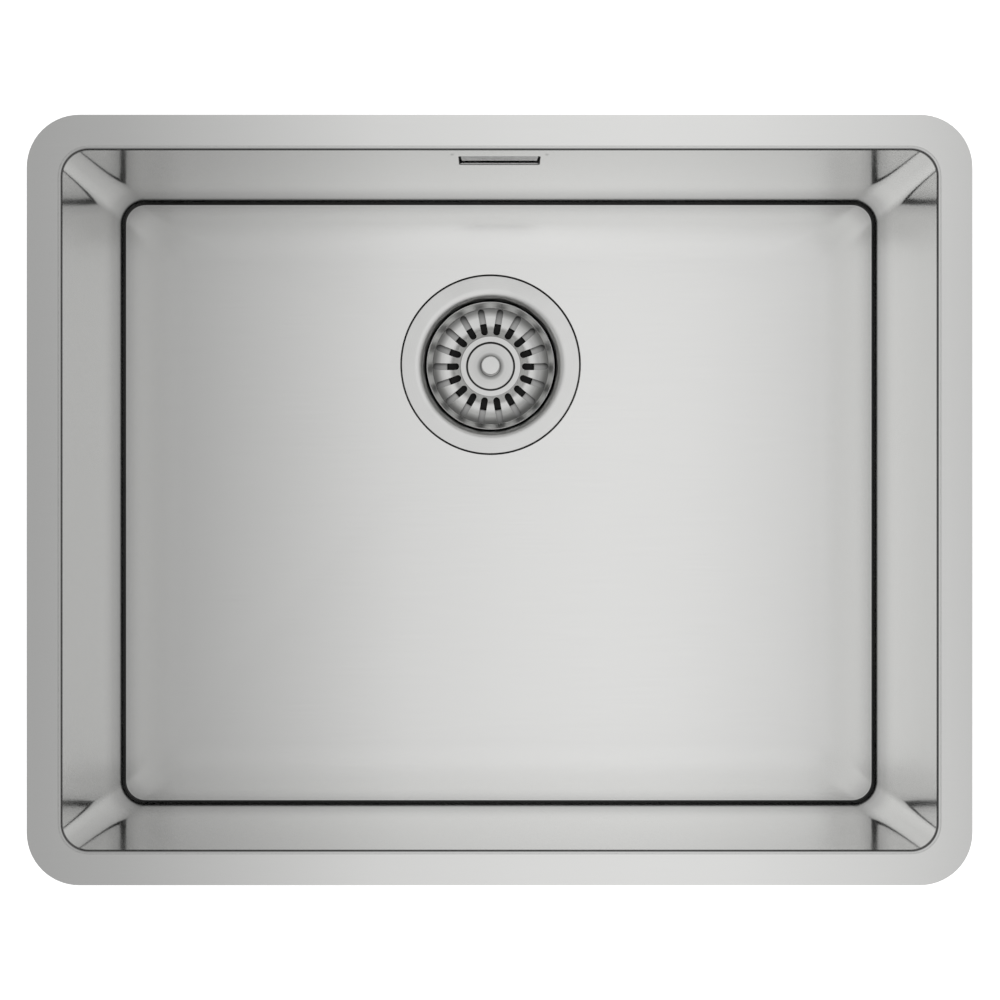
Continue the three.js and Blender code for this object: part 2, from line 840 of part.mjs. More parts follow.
// A round bar along Y between two distances
function wallDisc(radius, near, far, x, height) {
  return disc(radius, near, far, smallSteps).rotate([-90, 0, 0]).translate([x, 0, height]);
}

function makeOverflowGasket() {
  const near = wallBack + glueLine;
  const pad = wallPrism(flangeShape(), near, near + gasketThickness);
  const hole = wallPrism(openingShape(lipOutside), near - overlap, near + gasketThickness + overlap);
  const holes = studHoles(studRadius + fitGap, near - overlap, near + gasketThickness + overlap);
  return pad.subtract(joined([hole, ...holes]));
}

function makeHousing() {
  const flange = wallPrism(flangeShape(), housingFace, housingBoxFace);
  const shell = wallPrism(housingShape(housingWall), housingFace + overlap, housingBack);
  const spigot = disc(spigotRadius, spigotFoot, roomBottom - housingWall / 2, smallSteps);
  const bore = disc(spigotBore, spigotFoot - overlap, roomBottom + overlap, smallSteps);
  const roomCut = wallPrism(housingShape(0), housingFace - overlap, housingBack - housingWall);
  const lipBack = halfWidth + lipReturn + fitGap;
  const lipCut = wallPrism(openingShape(lipOutside), housingFace - overlap, lipBack);
  const holes = studHoles(studRadius + fitGap, housingFace - overlap, housingBoxFace + overlap);
  return joined([flange, shell, spigot.translate([overflowX, spigotY, 0])])
    .subtract(roomCut)
    .subtract(lipCut)
    .subtract(bore.translate([overflowX, spigotY, 0]))
    .subtract(joined(holes))
    .add(joined(coverShelves()));
}

// The cover is a slightly raked plate with a return along its foot and two legs into the housing
const coverTop = openingTop - coverTopGap;
const coverHalf = overflowWidth / 2 - coverSideGap;
const coverRake = Math.asin(Math.min(coverRecess / coverHeight, 0.5));
const coverFace = halfWidth + coverFootGap;
const coverLegTop = coverTop - coverHeight / 2;
const coverLegFoot = coverLegTop - coverLegThickness;
const coverHeadFace = coverFace + coverRecess;

function coverShelves() {
  return [-1, 1].map((side) => {
    const x = overflowX + (side * coverLegSpacing) / 2;
    const half = coverLegWidth / 2;
    const top = coverLegFoot - fitGap;
    const near = housingBack - housingWall - shelfDepth;
    return box(x - half, x + half, near, housingBack - housingWall / 2, top - coverSheet * 2, top);
  });
}

function makeCover() {
  const foot = coverHalf - coverTaper;
  const plateShape = new THREE.Shape(
    points([[-coverHalf, 0], [coverHalf, 0], [foot, -coverHeight], [-foot, -coverHeight]]),
  );
  const plate = wallPrism(plateShape, 0, coverSheet);
  const footLip = box(-foot, foot, 0, coverFootReturn, -coverHeight, -coverHeight + coverSheet);
  const raked = plate.add(footLip).rotate([-THREE.MathUtils.radToDeg(coverRake), 0, 0]);
  const placed = raked.translate([overflowX, coverHeadFace, coverTop]);
  const legStart = coverFace + (coverRecess + coverSheet) / 2;
  const legEnd = housingBack - housingWall - fitGap;
  const legs = [-1, 1].map((side) => {
    const x = overflowX + (side * coverLegSpacing) / 2;
    const half = coverLegWidth / 2;
    return box(x - half, x + half, legStart, legEnd, coverLegFoot, coverLegTop);
  });
  return joined([placed, ...legs]);
}

const studNear = wallBack + glueLine;
const washerNear = housingBoxFace + glueLine;
const nutNear = washerNear + washerThickness + glueLine;

function makeStud(x) {
  return wallDisc(studRadius, studNear, studNear + studLength, x, studHeight);
}

function makeWasher(x) {
  const far = washerNear + washerThickness;
  const hole = wallDisc(studRadius + glueLine, washerNear - overlap, far + overlap, x, studHeight);
  return wallDisc(washerRadius, washerNear, far, x, studHeight).subtract(hole);
}

function makeStudNut(x) {
  const far = nutNear + studNutHeight;
  const nut = wallPrism(hexagon(studNutFlats), nutNear, far).translate([x, 0, studHeight]);
  return nut.subtract(wallDisc(studRadius + glueLine, nutNear - overlap, far + overlap, x, studHeight));
}

// ---------- Overflow pipe ----------

// Its facets lie outside the round they stand for, so that the bore clears the round spigots
const hoseFacet = 1 / Math.cos(Math.PI / hoseSteps);
const hoseBore = (spigotRadius + fitGap) * hoseFacet;
const hoseRoot = hoseBore + hoseWall * hoseFacet;
const hoseCrest = hoseRoot + ribHeight * hoseFacet;
const cuffRadius = hoseRoot + cuffThickening * hoseFacet;
const branchTip = wasteY + branchEnd + spigotLength;
const branchZ = flangeTop + branchHeight;

// Down the back wall with a small shift sideways, round one bend and forward to the waste
function hosePath() {
  const start = new THREE.Vector3(overflowX, spigotY, spigotFoot + cuffLength);
  const end = new THREE.Vector3(wasteX, branchTip - cuffLength, branchZ);
  const reach = Math.min(hoseBend, spigotY - branchTip, start.z - branchZ - cuffLength);
  const shiftFrom = new THREE.Vector3(overflowX, spigotY, start.z - cuffLength);
  const bendFrom = new THREE.Vector3(wasteX, spigotY, branchZ + reach);
  const corner = new THREE.Vector3(wasteX, spigotY, branchZ);
  const bendTo = new THREE.Vector3(wasteX, spigotY - reach, branchZ);
  const middle = (shiftFrom.z + bendFrom.z) / 2;
  const shiftOut = new THREE.Vector3(overflowX, spigotY, middle);
  const shiftIn = new THREE.Vector3(wasteX, spigotY, middle);
  const path = new THREE.CurvePath();
  path.add(new THREE.LineCurve3(start, shiftFrom));
  path.add(new THREE.CubicBezierCurve3(shiftFrom, shiftOut, shiftIn, bendFrom));
  path.add(new THREE.QuadraticBezierCurve3(bendFrom, corner, bendTo));
  path.add(new THREE.LineCurve3(bendTo, end));
  return path;
}

// Rings along a path, each a share of its length and a radius, joined into a skin with flat ends
function pipeAlong(path, stations) {
  const loops = stations.map(([share, radius]) => {
    const centre = path.getPointAt(share);
    const along = path.getTangentAt(share);
    const across = new THREE.Vector3(1, 0, 0).projectOnPlane(along).normalize();
    const up = along.clone().cross(across);
    return Array.from({ length: hoseSteps }, (_, i) => {
      const angle = ((i + 0.5) * fullTurn) / hoseSteps;
      const out = across.clone().multiplyScalar(radius * Math.cos(angle));
      return out.addScaledVector(up, radius * Math.sin(angle)).add(centre);
    });
  });
  return lofted(loops);
}

function makeHose() {
  const path = hosePath();
  const length = path.getLength();
  const cuff = cuffLength / length;
  const ribbed = 1 - 2 * cuff;
  const ribs = Math.round((length * ribbed) / ribPitch);
  const ribStations = Array.from({ length: ribs }, (_, i) => [
    [cuff + (ribbed * (i + 0.25)) / ribs, hoseRoot],
    [cuff + (ribbed * (i + 0.75)) / ribs, hoseCrest],
  ]);
  const stations = [
    [0, cuffRadius],
    [cuff, cuffRadius],
    ...ribStations.flat(),
    [1 - cuff, cuffRadius],
    [1, cuffRadius],
  ];
  const boreRings = Math.ceil(ribs / boreRingEvery);
  const boreStations = Array.from({ length: boreRings + 1 }, (_, i) => [i / boreRings, hoseBore]);
  return pipeAlong(path, stations).subtract(hoseInside(path, boreStations));
}

// The room inside the hose, which runs a little past both ends to cut them open
function hoseInside(path, stations) {
  const start = path.getPointAt(0).addScaledVector(path.getTangentAt(0), -overlap);
  const end = path.getPointAt(1).addScaledVector(path.getTangentAt(1), overlap);
  const whole = new THREE.CurvePath();
  whole.add(new THREE.LineCurve3(start, path.getPointAt(0)));
  path.curves.forEach((curve) => whole.add(curve));
  whole.add(new THREE.LineCurve3(path.getPointAt(1), end));
  return pipeAlong(whole, stations);
}

// A gripped collar that clamps a cuff onto its spigot, standing on Z
function makeClamp() {
  const sides = clampGrips * 3;
  const facet = 1 / Math.cos(Math.PI / sides);
  const inner = (cuffRadius + fitGap) * facet;
  const outer = inner + clampWall;
  const collar = ring(inner, outer, 0, clampLength, sides);
  const notch = clampWall / 2;
  const notches = Array.from({ length: clampGrips }, (_, i) => {
    const angle = ((i + 0.5) * fullTurn) / clampGrips;
    const cutter = disc(notch, clampWall, clampLength + overlap, notchSteps);
    return cutter.translate([outer * Math.cos(angle), outer * Math.sin(angle), 0]);
  });
  return collar.subtract(joined(notches));
}

// ---------- Assembly ----------

const sink = new THREE.Group();
sink.name = "undermount_sink";
const wasteGroup = new THREE.Group();
wasteGroup.position.set(wasteX, wasteY, flangeTop);
const strainerGroup = new THREE.Group();
wasteGroup.add(strainerGroup);
sink.add(wasteGroup);

function place(parent, name, solid, material) {
  const mesh = new THREE.Mesh(geometryOf(solid), material);
  mesh.name = name;
  parent.add(mesh);
  return mesh;
}

place(sink, "sink_bowl", makeBowl(), satinSteel);

const padLeft = -halfLength + padMargin;
const padRight = halfLength - padMargin;
const padFront = -halfWidth + padMargin;
const padBack = halfWidth - padMargin;
const wasteReach = Math.max(bodyFlangeRadius, recessRadius + padInner) + padMargin / 2;
const middleLeft = wasteX - wasteReach;
const middleRight = wasteX + wasteReach;
place(sink, "floor_pad_left", floorPad(padLeft, middleLeft - padCorner, padFront, padBack), padRubber);
place(sink, "floor_pad_right", floorPad(middleRight + padCorner, padRight, padFront, padBack), padRubber);
place(
  sink,
  "floor_pad_front",
  floorPad(middleLeft, middleRight, padFront, wasteY - wasteReach),
  padRubber,
);

const wallPadFoot = -(bowlDepth - padMargin);
const longWall = [wallPadFoot, -wallPadTop];
const outFront = [-halfWidth - padInner - padReach, -halfWidth];
const outBack = [halfWidth, halfWidth + padInner + padReach];
const hoseSide = hoseCrest + padMargin;
place(sink, "wall_pad_front", wallPad(padLeft, padRight, ...longWall, ...outFront), padRubber);
place(
  sink,
  "wall_pad_back_left",
  wallPad(padLeft, overflowX - hoseSide, ...longWall, ...outBack),
  padRubber,
);
place(
  sink,
  "wall_pad_back_right",
  wallPad(overflowX + hoseSide, padRight, ...longWall, ...outBack),
  padRubber,
);
const outRight = [halfLength, halfLength + padInner + padReach];
const outLeft = [-halfLength - padInner - padReach, -halfLength];
place(sink, "wall_pad_right", sidePad(-padBack, -padFront, ...longWall, ...outRight), padRubber);
place(sink, "wall_pad_left", sidePad(-padBack, -padFront, ...longWall, ...outLeft), padRubber);

place(wasteGroup, "strainer_cup", makeCup(), brightSteel);
place(wasteGroup, "flange_gasket", makeFlangeGasket(), blackRubber);
place(wasteGroup, "body_gasket", makeBodyGasket(), blackRubber);
place(wasteGroup, "waste_body", makeWasteBody(), blackPlastic);
place(wasteGroup, "centre_screw", makeScrew(), zincSteel);
place(wasteGroup, "screw_insert", makeInsert(), brass);

place(strainerGroup, "strainer_basket", makeBasket(), brightSteel);
place(strainerGroup, "basket_knob", makeKnob(), brightSteel);
place(strainerGroup, "plug_stem", makeStem(), zincSteel);
place(strainerGroup, "plug_seal", makeSeal(), blackRubber);
place(strainerGroup, "seal_backing", makeBacking(), zincSteel);
place(strainerGroup, "stem_nut", makeStemNut(), zincSteel);
place(strainerGroup, "stem_sleeve", makeSleeve(), greyPlastic);

place(sink, "overflow_cover", makeCover(), brightSteel);
place(sink, "overflow_gasket", makeOverflowGasket(), blackRubber);
place(sink, "overflow_housing", makeHousing(), blackPlastic);
for (const [side, sign] of [["left", -1], ["right", 1]]) {
  const x = overflowX + (sign * studSpacing) / 2;
  place(sink, `weld_stud_${side}`, makeStud(x), zincSteel);
  place(sink, `stud_washer_${side}`, makeWasher(x), zincSteel);
  place(sink, `stud_nut_${side}`, makeStudNut(x), zincSteel);
}

place(sink, "overflow_hose", makeHose(), greyPlastic);
const upperClamp = place(sink, "hose_clamp_upper", makeClamp(), blackPlastic);
upperClamp.position.set(overflowX, spigotY, spigotFoot + (cuffLength - clampLength) / 2);
const lowerClamp = place(sink, "hose_clamp_lower", makeClamp(), blackPlastic);
lowerClamp.rotation.x = -Math.PI / 2;
lowerClamp.position.set(wasteX, branchTip - cuffLength + (cuffLength - clampLength) / 2, branchZ);

export default sink;
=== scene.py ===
import bpy
import bmesh
import math
from mathutils import Matrix, Vector


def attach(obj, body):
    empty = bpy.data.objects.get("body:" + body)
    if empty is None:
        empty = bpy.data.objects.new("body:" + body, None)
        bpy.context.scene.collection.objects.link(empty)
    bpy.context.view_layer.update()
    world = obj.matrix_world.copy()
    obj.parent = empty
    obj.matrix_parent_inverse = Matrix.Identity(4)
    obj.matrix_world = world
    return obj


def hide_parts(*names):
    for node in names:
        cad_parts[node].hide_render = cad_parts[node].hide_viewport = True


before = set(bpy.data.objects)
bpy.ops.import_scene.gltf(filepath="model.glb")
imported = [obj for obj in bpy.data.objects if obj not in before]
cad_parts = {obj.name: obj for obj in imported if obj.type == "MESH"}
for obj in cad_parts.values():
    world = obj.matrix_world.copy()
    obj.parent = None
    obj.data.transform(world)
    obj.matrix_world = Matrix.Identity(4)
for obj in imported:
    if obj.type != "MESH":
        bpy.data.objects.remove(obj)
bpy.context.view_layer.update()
print("frame loaded:", len(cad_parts), "nodes")

# pieces are drawn in millimetres, and intoObject turns them into metres
millimetre = Matrix.Scale(0.001, 4)
whole = Matrix.Identity(4)
towardBack = Matrix.Rotation(-math.pi / 2, 4, "X")  # what pointed up points to the back wall
towardFront = Matrix.Rotation(math.pi / 2, 4, "X")
wasteTop = (-5.5, 92, -201.5)  # middle of the strainer flange's top
overWaste = Matrix.Translation(wasteTop)
wasteAxis = Vector((wasteTop[0], wasteTop[1], 0))


def at(x, y, z):
    return Matrix.Translation((x, y, z))


def partTurn(part, parts):
    return Matrix.Rotation(2 * math.pi * part / parts, 4, "Z")


def bevel(bm, geom, width, segments, affect="EDGES", clamp=False):
    bmesh.ops.bevel(bm, geom=geom, offset=width, offset_type="OFFSET", segments=segments,
        profile=0.5, affect=affect, material=-1, clamp_overlap=clamp)


def vertsOf(made):
    return [g for g in made["geom"] if isinstance(g, bmesh.types.BMVert)]


def fixNormals(bm):
    bmesh.ops.recalc_face_normals(bm, faces=bm.faces)


def spun(profile, steps=96, closed=False):
    # a profile of (radius, height) turned once round Z
    bm = bmesh.new()
    verts = [bm.verts.new((radius, 0, height)) for radius, height in profile]
    edges = [bm.edges.new(pair) for pair in zip(verts, verts[1:] + verts[:closed])]
    bmesh.ops.spin(bm, geom=verts + edges, cent=(0, 0, 0), axis=(0, 0, 1), dvec=(0, 0, 0),
        angle=2 * math.pi, steps=steps, use_merge=True)
    bmesh.ops.remove_doubles(bm, verts=bm.verts, dist=1e-3)
    fixNormals(bm)
    return bm


def roundRings(bm, rings, segments=4):
    # rounds the circular edges at each (radius, height, width)
    near = 0.03
    for radius, height, width in rings:
        ring = [e for e in bm.edges if all(abs(v.co.xy.length - radius) < near
            and abs(v.co.z - height) < near for v in e.verts)]
        bevel(bm, ring, width, segments)


def roundSharp(bm, width, segments=3, above=35):
    # rounds every edge whose faces turn by more than the angle
    sharp = [e for e in bm.edges
        if len(e.link_faces) == 2 and e.calc_face_angle() > math.radians(above)]
    bevel(bm, sharp, width, segments, clamp=True)


def addMesh(bm, other):
    # takes another bmesh in
    carrier = bpy.data.meshes.new("carrier")
    other.to_mesh(carrier)
    other.free()
    bm.from_mesh(carrier)
    bpy.data.meshes.remove(carrier)


def helix(radius, height, pitch, turns, ridge, steps=40):
    # a thread: a pointed ridge that climbs round Z from a height, its foot sunk in the metal
    bm = bmesh.new()
    half, foot = pitch * 0.45, radius - 0.2
    corners = [(foot, height - half), (radius + ridge, height), (foot, height + half)]
    face = bm.faces.new([bm.verts.new((r, 0, z)) for r, z in corners])
    bmesh.ops.spin(bm, geom=[face], cent=(0, 0, 0), axis=(0, 0, 1), dvec=(0, 0, pitch / steps),
        angle=2 * math.pi * turns, steps=int(steps * turns), use_merge=False)
    fixNormals(bm)
    return bm


def turned(size):
    # a profile of (radius, height) turned round Z: a third number rounds that corner off, and
    # a thread is radius, first height, pitch, turns, ridge and, if given, steps in a turn
    profile = size["profile"]
    bm = spun([point[:2] for point in profile], size.get("steps", 96), profile[0][0] > 0)
    roundRings(bm, [point for point in profile if len(point) == 3], size.get("segments", 3))
    if "thread" in size:
        addMesh(bm, helix(*size["thread"]))
    return bm


def newFace(bm, before):
    return next(f for f in bm.faces if f not in before)


def roundedFace(bm, length, width, corner, place=whole, cornerSteps=12, cells=(1, 1)):
    # a flat face with round corners, its straight sides cut into cells
    before = set(bm.faces)
    grid = bmesh.ops.create_grid(bm, x_segments=1, y_segments=1, size=0.5)["verts"]
    bmesh.ops.scale(bm, vec=(length, width, 1), verts=grid)
    bevel(bm, grid, corner, cornerSteps, "VERTICES")
    for side in sorted(newFace(bm, before).edges, key=lambda e: e.calc_length())[-4:]:
        run = side.verts[0].co - side.verts[1].co
        cuts = cells[0 if abs(run.x) > abs(run.y) else 1] - 1
        if cuts > 0:
            bmesh.ops.subdivide_edges(bm, edges=[side], cuts=cuts)
    face = newFace(bm, before)
    bmesh.ops.transform(bm, matrix=place, verts=face.verts)
    face.normal_update()
    return face


def outlineFace(bm, corners, reach, y, cornerSteps=8):
    # an upright face that looks back, from its corners (x, z), each rounded off
    verts = [bm.verts.new((x, y, z)) for x, z in corners]
    before = set(bm.faces)
    bm.faces.new(verts)
    bevel(bm, verts, reach, cornerSteps, "VERTICES")
    face = newFace(bm, before)
    face.normal_update()
    if face.normal.y < 0:
        face.normal_flip()
    face.normal_update()
    return face


def openFace(bm, face):
    # takes a face out and gives the edges that are left of it
    edges = list(face.edges)
    bmesh.ops.delete(bm, geom=[face], context="FACES_ONLY")
    return edges


def sinkFace(bm, face, steps):
    # draws a face inwards and down, one ring of faces for each (inward, down)
    for inward, down in steps:
        bmesh.ops.inset_region(bm, faces=[face], thickness=inward, depth=-down,
            use_even_offset=True, use_boundary=True)


def overEdge(radius, count):
    # steps of an edge that rolls over from flat to upright
    angles = [math.pi / 2 * i / count for i in range(count + 1)]
    return [(radius * (math.sin(b) - math.sin(a)), radius * (math.cos(a) - math.cos(b)))
        for a, b in zip(angles, angles[1:])]


def intoFloor(radius, count):
    # steps of a hollow corner that runs from upright to flat
    return [(inward, down) for down, inward in overEdge(radius, count)]


def extrudeRing(bm, ring):
    # a ring of edges drawn from another: its own edges and vertices
    made = bmesh.ops.extrude_edge_only(bm, edges=ring)
    verts = vertsOf(made)
    held = set(verts)
    edges = [g for g in made["geom"] if isinstance(g, bmesh.types.BMEdge) and set(g.verts) <= held]
    return edges, verts


def pushOut(bm, faces, away):
    made = bmesh.ops.extrude_face_region(bm, geom=faces)
    bmesh.ops.translate(bm, vec=away, verts=vertsOf(made))
    fixNormals(bm)


def plate(bm, face, thickness):
    # gives a face a body, on the side that its normal points to
    pushOut(bm, [face], face.normal * thickness)


def faceUp(bm, rank):
    # turns the whole surface over if the face that ranks first looks down
    if max(bm.faces, key=rank).normal.z < 0:
        bmesh.ops.reverse_faces(bm, faces=bm.faces)


def thicken(bm, sheet, rank):
    # makes sheet of a surface, downwards from the face that ranks first
    faceUp(bm, rank)
    bmesh.ops.solidify(bm, geom=bm.faces[:], thickness=sheet)
    fixNormals(bm)


def block(bm, low, high, turn=whole):
    cube = bmesh.ops.create_cube(bm, size=1)["verts"]
    bmesh.ops.scale(bm, vec=[b - a for a, b in zip(low, high)], verts=cube)
    bmesh.ops.translate(bm, vec=[(a + b) / 2 for a, b in zip(low, high)], verts=cube)
    bmesh.ops.transform(bm, matrix=turn, verts=cube)
    return cube


def drill(bm, radius, depth, segments, place):
    bmesh.ops.create_cone(bm, cap_ends=True, segments=segments, radius1=radius, radius2=radius,
        depth=depth, matrix=place)


def linked(name, data):
    made = bpy.data.objects.new(name, data)
    bpy.context.scene.collection.objects.link(made)
    return made


def intoObject(name, bm, matrix):
    bmesh.ops.transform(bm, matrix=matrix, verts=bm.verts)
    mesh = bpy.data.meshes.new(name)
    bm.to_mesh(mesh)
    bm.free()
    return linked(name, mesh)


def evenNormals(piece):
    # flat faces stay flat beside their rounded edges
    piece.modifiers.new("evenNormals", "WEIGHTED_NORMAL").keep_sharp = True


def cutAway(piece, bm, place=whole, operation="DIFFERENCE"):
    # takes a shape out of the piece for good, or with UNION adds it
    cut = piece.modifiers.new("cut", "BOOLEAN")
    cut.operation = operation
    cut.solver = "EXACT"
    cut.object = cutter = intoObject("cutter", bm, millimetre @ place)
    bpy.context.view_layer.update()
    seen = piece.evaluated_get(bpy.context.evaluated_depsgraph_get())
    cutMesh = bpy.data.meshes.new_from_object(seen)
    piece.modifiers.remove(cut)
    piece.data = cutMesh
    piece.data.set_sharp_from_angle(angle=math.radians(38))
    bpy.data.objects.remove(cutter)


finishes = {}


def makePiece(name, bm, finish, node=None, body="sink", place=whole, even=False, smooth=38):
    piece = intoObject(name, bm, millimetre @ place)
    piece.data.materials.append(finishes[finish])
    piece.data.shade_smooth()
    piece.data.set_sharp_from_angle(angle=math.radians(smooth))
    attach(piece, body)
    if node:
        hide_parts(node)
    if even:
        evenNormals(piece)
    return piece


bench = {}  # the node tree that is being built, and its shader


def node(kind, inputs={}, **settings):
    # adds a shader node; an input is a constant or another node's output
    tree = bench["tree"]
    made = tree.nodes.new("ShaderNode" + kind)
    for name, value in settings.items():
        setattr(made, name, value)
    for name, value in inputs.items():
        if isinstance(value, bpy.types.NodeSocket):
            tree.links.new(value, made.inputs[name])
        else:
            made.inputs[name].default_value = value
    return made


def newFinish(name, look):
    # starts a material from its colour, roughness and metal, and gives Object coordinates
    finish = bpy.data.materials.new(name)
    finish.use_nodes = True
    finishes[name] = finish
    bench["tree"] = finish.node_tree
    bench["shader"] = shader = finish.node_tree.nodes["Principled BSDF"]
    shader.inputs["Base Color"].default_value = (*look["color"], 1)
    shader.inputs["Roughness"].default_value = look["roughness"]
    shader.inputs["Metallic"].default_value = look.get("metal", 1.0)
    return node("TexCoord").outputs["Object"]


def noise(coords, scale, detail=3, stretch=(1, 1, 1)):
    # a stretch factor below one draws the noise out along that axis
    drawn = node("Mapping", {"Vector": coords, "Scale": stretch}).outputs["Vector"]
    return node("TexNoise", {"Vector": drawn, "Scale": scale, "Detail": detail}).outputs["Fac"]


def mapped(source, fromLow, fromHigh, low, high):
    return node("MapRange", {"Value": source, "From Min": fromLow, "From Max": fromHigh,
        "To Min": low, "To Max": high}).outputs["Result"]


def spread(source, low, high):
    # the middle of a noise, drawn out between two values
    return mapped(source, 0.3, 0.7, low, high)


def math2(operation, first, second=0):
    return node("Math", {0: first, 1: second}, operation=operation).outputs[0]


def times(first, *others):
    for other in others:
        first = math2("MULTIPLY", first, other)
    return first


def vectorMath(operation, first, second=(0, 0, 0), result="Vector"):
    return node("VectorMath", {0: first, 1: second}, operation=operation).outputs[result]


def along(vector, axis):
    return node("SeparateXYZ", {"Vector": vector}).outputs[axis]


def mixed(share, first, second):
    return node("Mix", {"Factor": share, "A": first, "B": second}).outputs["Result"]


def ramp(source, stops, interpolation="LINEAR"):
    # stops are (place, grey level) or (place, colour)
    made = node("ValToRGB", {"Fac": source})
    band = made.color_ramp
    band.interpolation = interpolation
    while len(band.elements) < len(stops):
        band.elements.new(0.5)
    for element, (place, level) in zip(band.elements, stops):
        element.position = place
        element.color = (*level, 1) if isinstance(level, tuple) else (level, level, level, 1)
    return made.outputs["Color"]


def toneAlong(source, stops):
    # stops are (value of the source, tone), in rising order, with tones up to 2
    low, high = stops[0][0], stops[-1][0]
    band = ramp(mapped(source, low, high, 0, 1),
        [((place - low) / (high - low), tone / 2) for place, tone in stops])
    return times(band, 2)


def drive(name, source):
    bench["tree"].links.new(source, bench["shader"].inputs[name])


def driveColor(color, tone):
    tint = node("VectorMath", {0: color, "Scale": tone}, operation="SCALE")
    drive("Base Color", tint.outputs["Vector"])


def bumps(heights):
    # one bump on another: each is (source, strength, depth in metres)
    below = {}
    for source, strength, depth in heights:
        bump = node("Bump", {"Height": source, "Strength": strength, "Distance": depth, **below})
        below = {"Normal": bump.outputs["Normal"]}
    drive("Normal", below["Normal"])


# heights and places in the finishes are metres, and a tone is a share of the colour
satin = {
    "color": (0.78, 0.78, 0.77), "roughness": 0.16, "wallRoughness": 0.13, "wallMetal": 0.86,
    # the floor and rim lifts are painted light, and the wall lift is painted shade on upright faces
    "floorPaintedLight": 1.07, "rimPaintedLight": 1.05, "wallPaintedShade": -0.17, "cloud": 6, "cloudShine": (0.9, 1.1),
    "grain": 2600, "wallGrain": (0.01, 0.01, 1), "levelGrain": (0.01, 1, 0.01),
    "grainStrength": 0.3, "grainDepth": 0.000004, "grainTone": 0.012,
    # painted shade at the walls' foot and at the turn of the mouth
    "footPaintedShade": [(-0.1999, 0.04), (-0.197, 0.06), (-0.195, 0.14), (-0.188, 0.32), (-0.176, 0.53),
        (-0.162, 0.67), (-0.15, 0.84), (-0.138, 0.95), (-0.125, 1.0)],
    "mouthPaintedShade": [(-0.0035, 1.0), (-0.0028, 0.22), (-0.0004, 0.22), (-0.0003, 0.75),
        (-0.00004, 0.8), (0.0, 1.0)],
    "floorEnd": -0.19999, "wallStart": -0.19993,
    # the edge lift is painted light along the floor's edge
    "mouthHalf": (0.25, 0.2, 0), "floorEdge": 0.04, "edgePaintedLight": 1.18,
    # painted shade and a painted highlight inside the overflow opening
    "openingPaintedShadeAndHighlight": [(0.2001, 1.0), (0.2002, 0.15), (0.2005, 0.15), (0.2007, 1.28), (0.2020, 1.28),
        (0.2022, 0.08)],
    "openingHeights": (-0.012, -0.015),
    "weldMark": (0.0274, 0.2, 0.0163), "weldStretch": (1, 1, 0.3), "weldReach": (0.0005, 0.0016),
    "weldTone": 0.6,
}


def satinSteel(look):
    coords = newFinish("satin_steel", look)
    normal = node("NewGeometry").outputs["Normal"]
    level = math2("ABSOLUTE", along(normal, "Z"))
    height, back = along(coords, "Z"), along(coords, "Y")

    # brushed along X on level faces and along the wall's length on upright ones
    grain = mixed(level, noise(coords, look["grain"], 3, look["wallGrain"]),
        noise(coords, look["grain"], 3, look["levelGrain"]))
    polish = mapped(level, 0, 1, look["wallRoughness"], look["roughness"])
    cloud = noise(coords, look["cloud"])
    drive("Roughness", times(polish, spread(cloud, *look["cloudShine"])))
    # painted light lifts the floor and rim, and painted shade darkens upright faces; the grain then
    # adds its own small tone
    lift = mapped(height, -0.2, 0, look["floorPaintedLight"], look["rimPaintedLight"])
    lift = math2("ADD", lift, mapped(level, 0.9, 0.2, 0, look["wallPaintedShade"]))
    lift = times(lift, spread(grain, 1 - look["grainTone"], 1 + look["grainTone"]))

    # inside, painted shade darkens the walls towards their foot and at the turn of the mouth
    onWall = mapped(height, look["floorEnd"], look["wallStart"], 0, 1)
    foot = mixed(onWall, 1.0, toneAlong(height, look["footPaintedShade"]))
    mouth = toneAlong(height, look["mouthPaintedShade"])

    # painted shade inside the overflow opening, with a painted highlight on a strip of the
    # turned-back lip
    lower = mapped(height, *look["openingHeights"], 0, 1)
    opening = mixed(lower, 1.0, toneAlong(back, look["openingPaintedShadeAndHighlight"]))

    # painted light: the floor is lighter along the foot of the walls
    mirrored = vectorMath("ABSOLUTE", coords)
    inset = vectorMath("SUBTRACT", look["mouthHalf"], mirrored)
    inset = math2("MINIMUM", along(inset, "X"), along(inset, "Y"))
    onFloor = mapped(height, look["wallStart"], look["floorEnd"], 0, 1)
    edge = mixed(onFloor, 1.0, mapped(inset, 0, look["floorEdge"], look["edgePaintedLight"], 1))

    # a faint mark on the back wall where each stud is welded on behind
    apart = vectorMath("SUBTRACT", mirrored, look["weldMark"])
    apart = vectorMath("MULTIPLY", apart, look["weldStretch"])
    near = vectorMath("LENGTH", apart, result="Value")
    near = math2("ADD", near, math2("LESS_THAN", back, 0))
    weld = mapped(near, *look["weldReach"], look["weldTone"], 1)

    # outside, where the surface looks away from the middle, none of these tones holds
    outward = vectorMath("DOT_PRODUCT", coords, normal, "Value")
    # painted shade and painted light inside, together with the weld marks
    inside = times(foot, mouth, opening, edge, weld)
    inside = mixed(math2("GREATER_THAN", outward, 0), inside, 1.0)
    driveColor(look["color"], times(lift, inside))
    # upright faces scatter a little light as well as mirroring it
    drive("Metallic", mapped(level, 0, 0.9, look["wallMetal"], 1))
    bumps([(grain, look["grainStrength"], look["grainDepth"])])
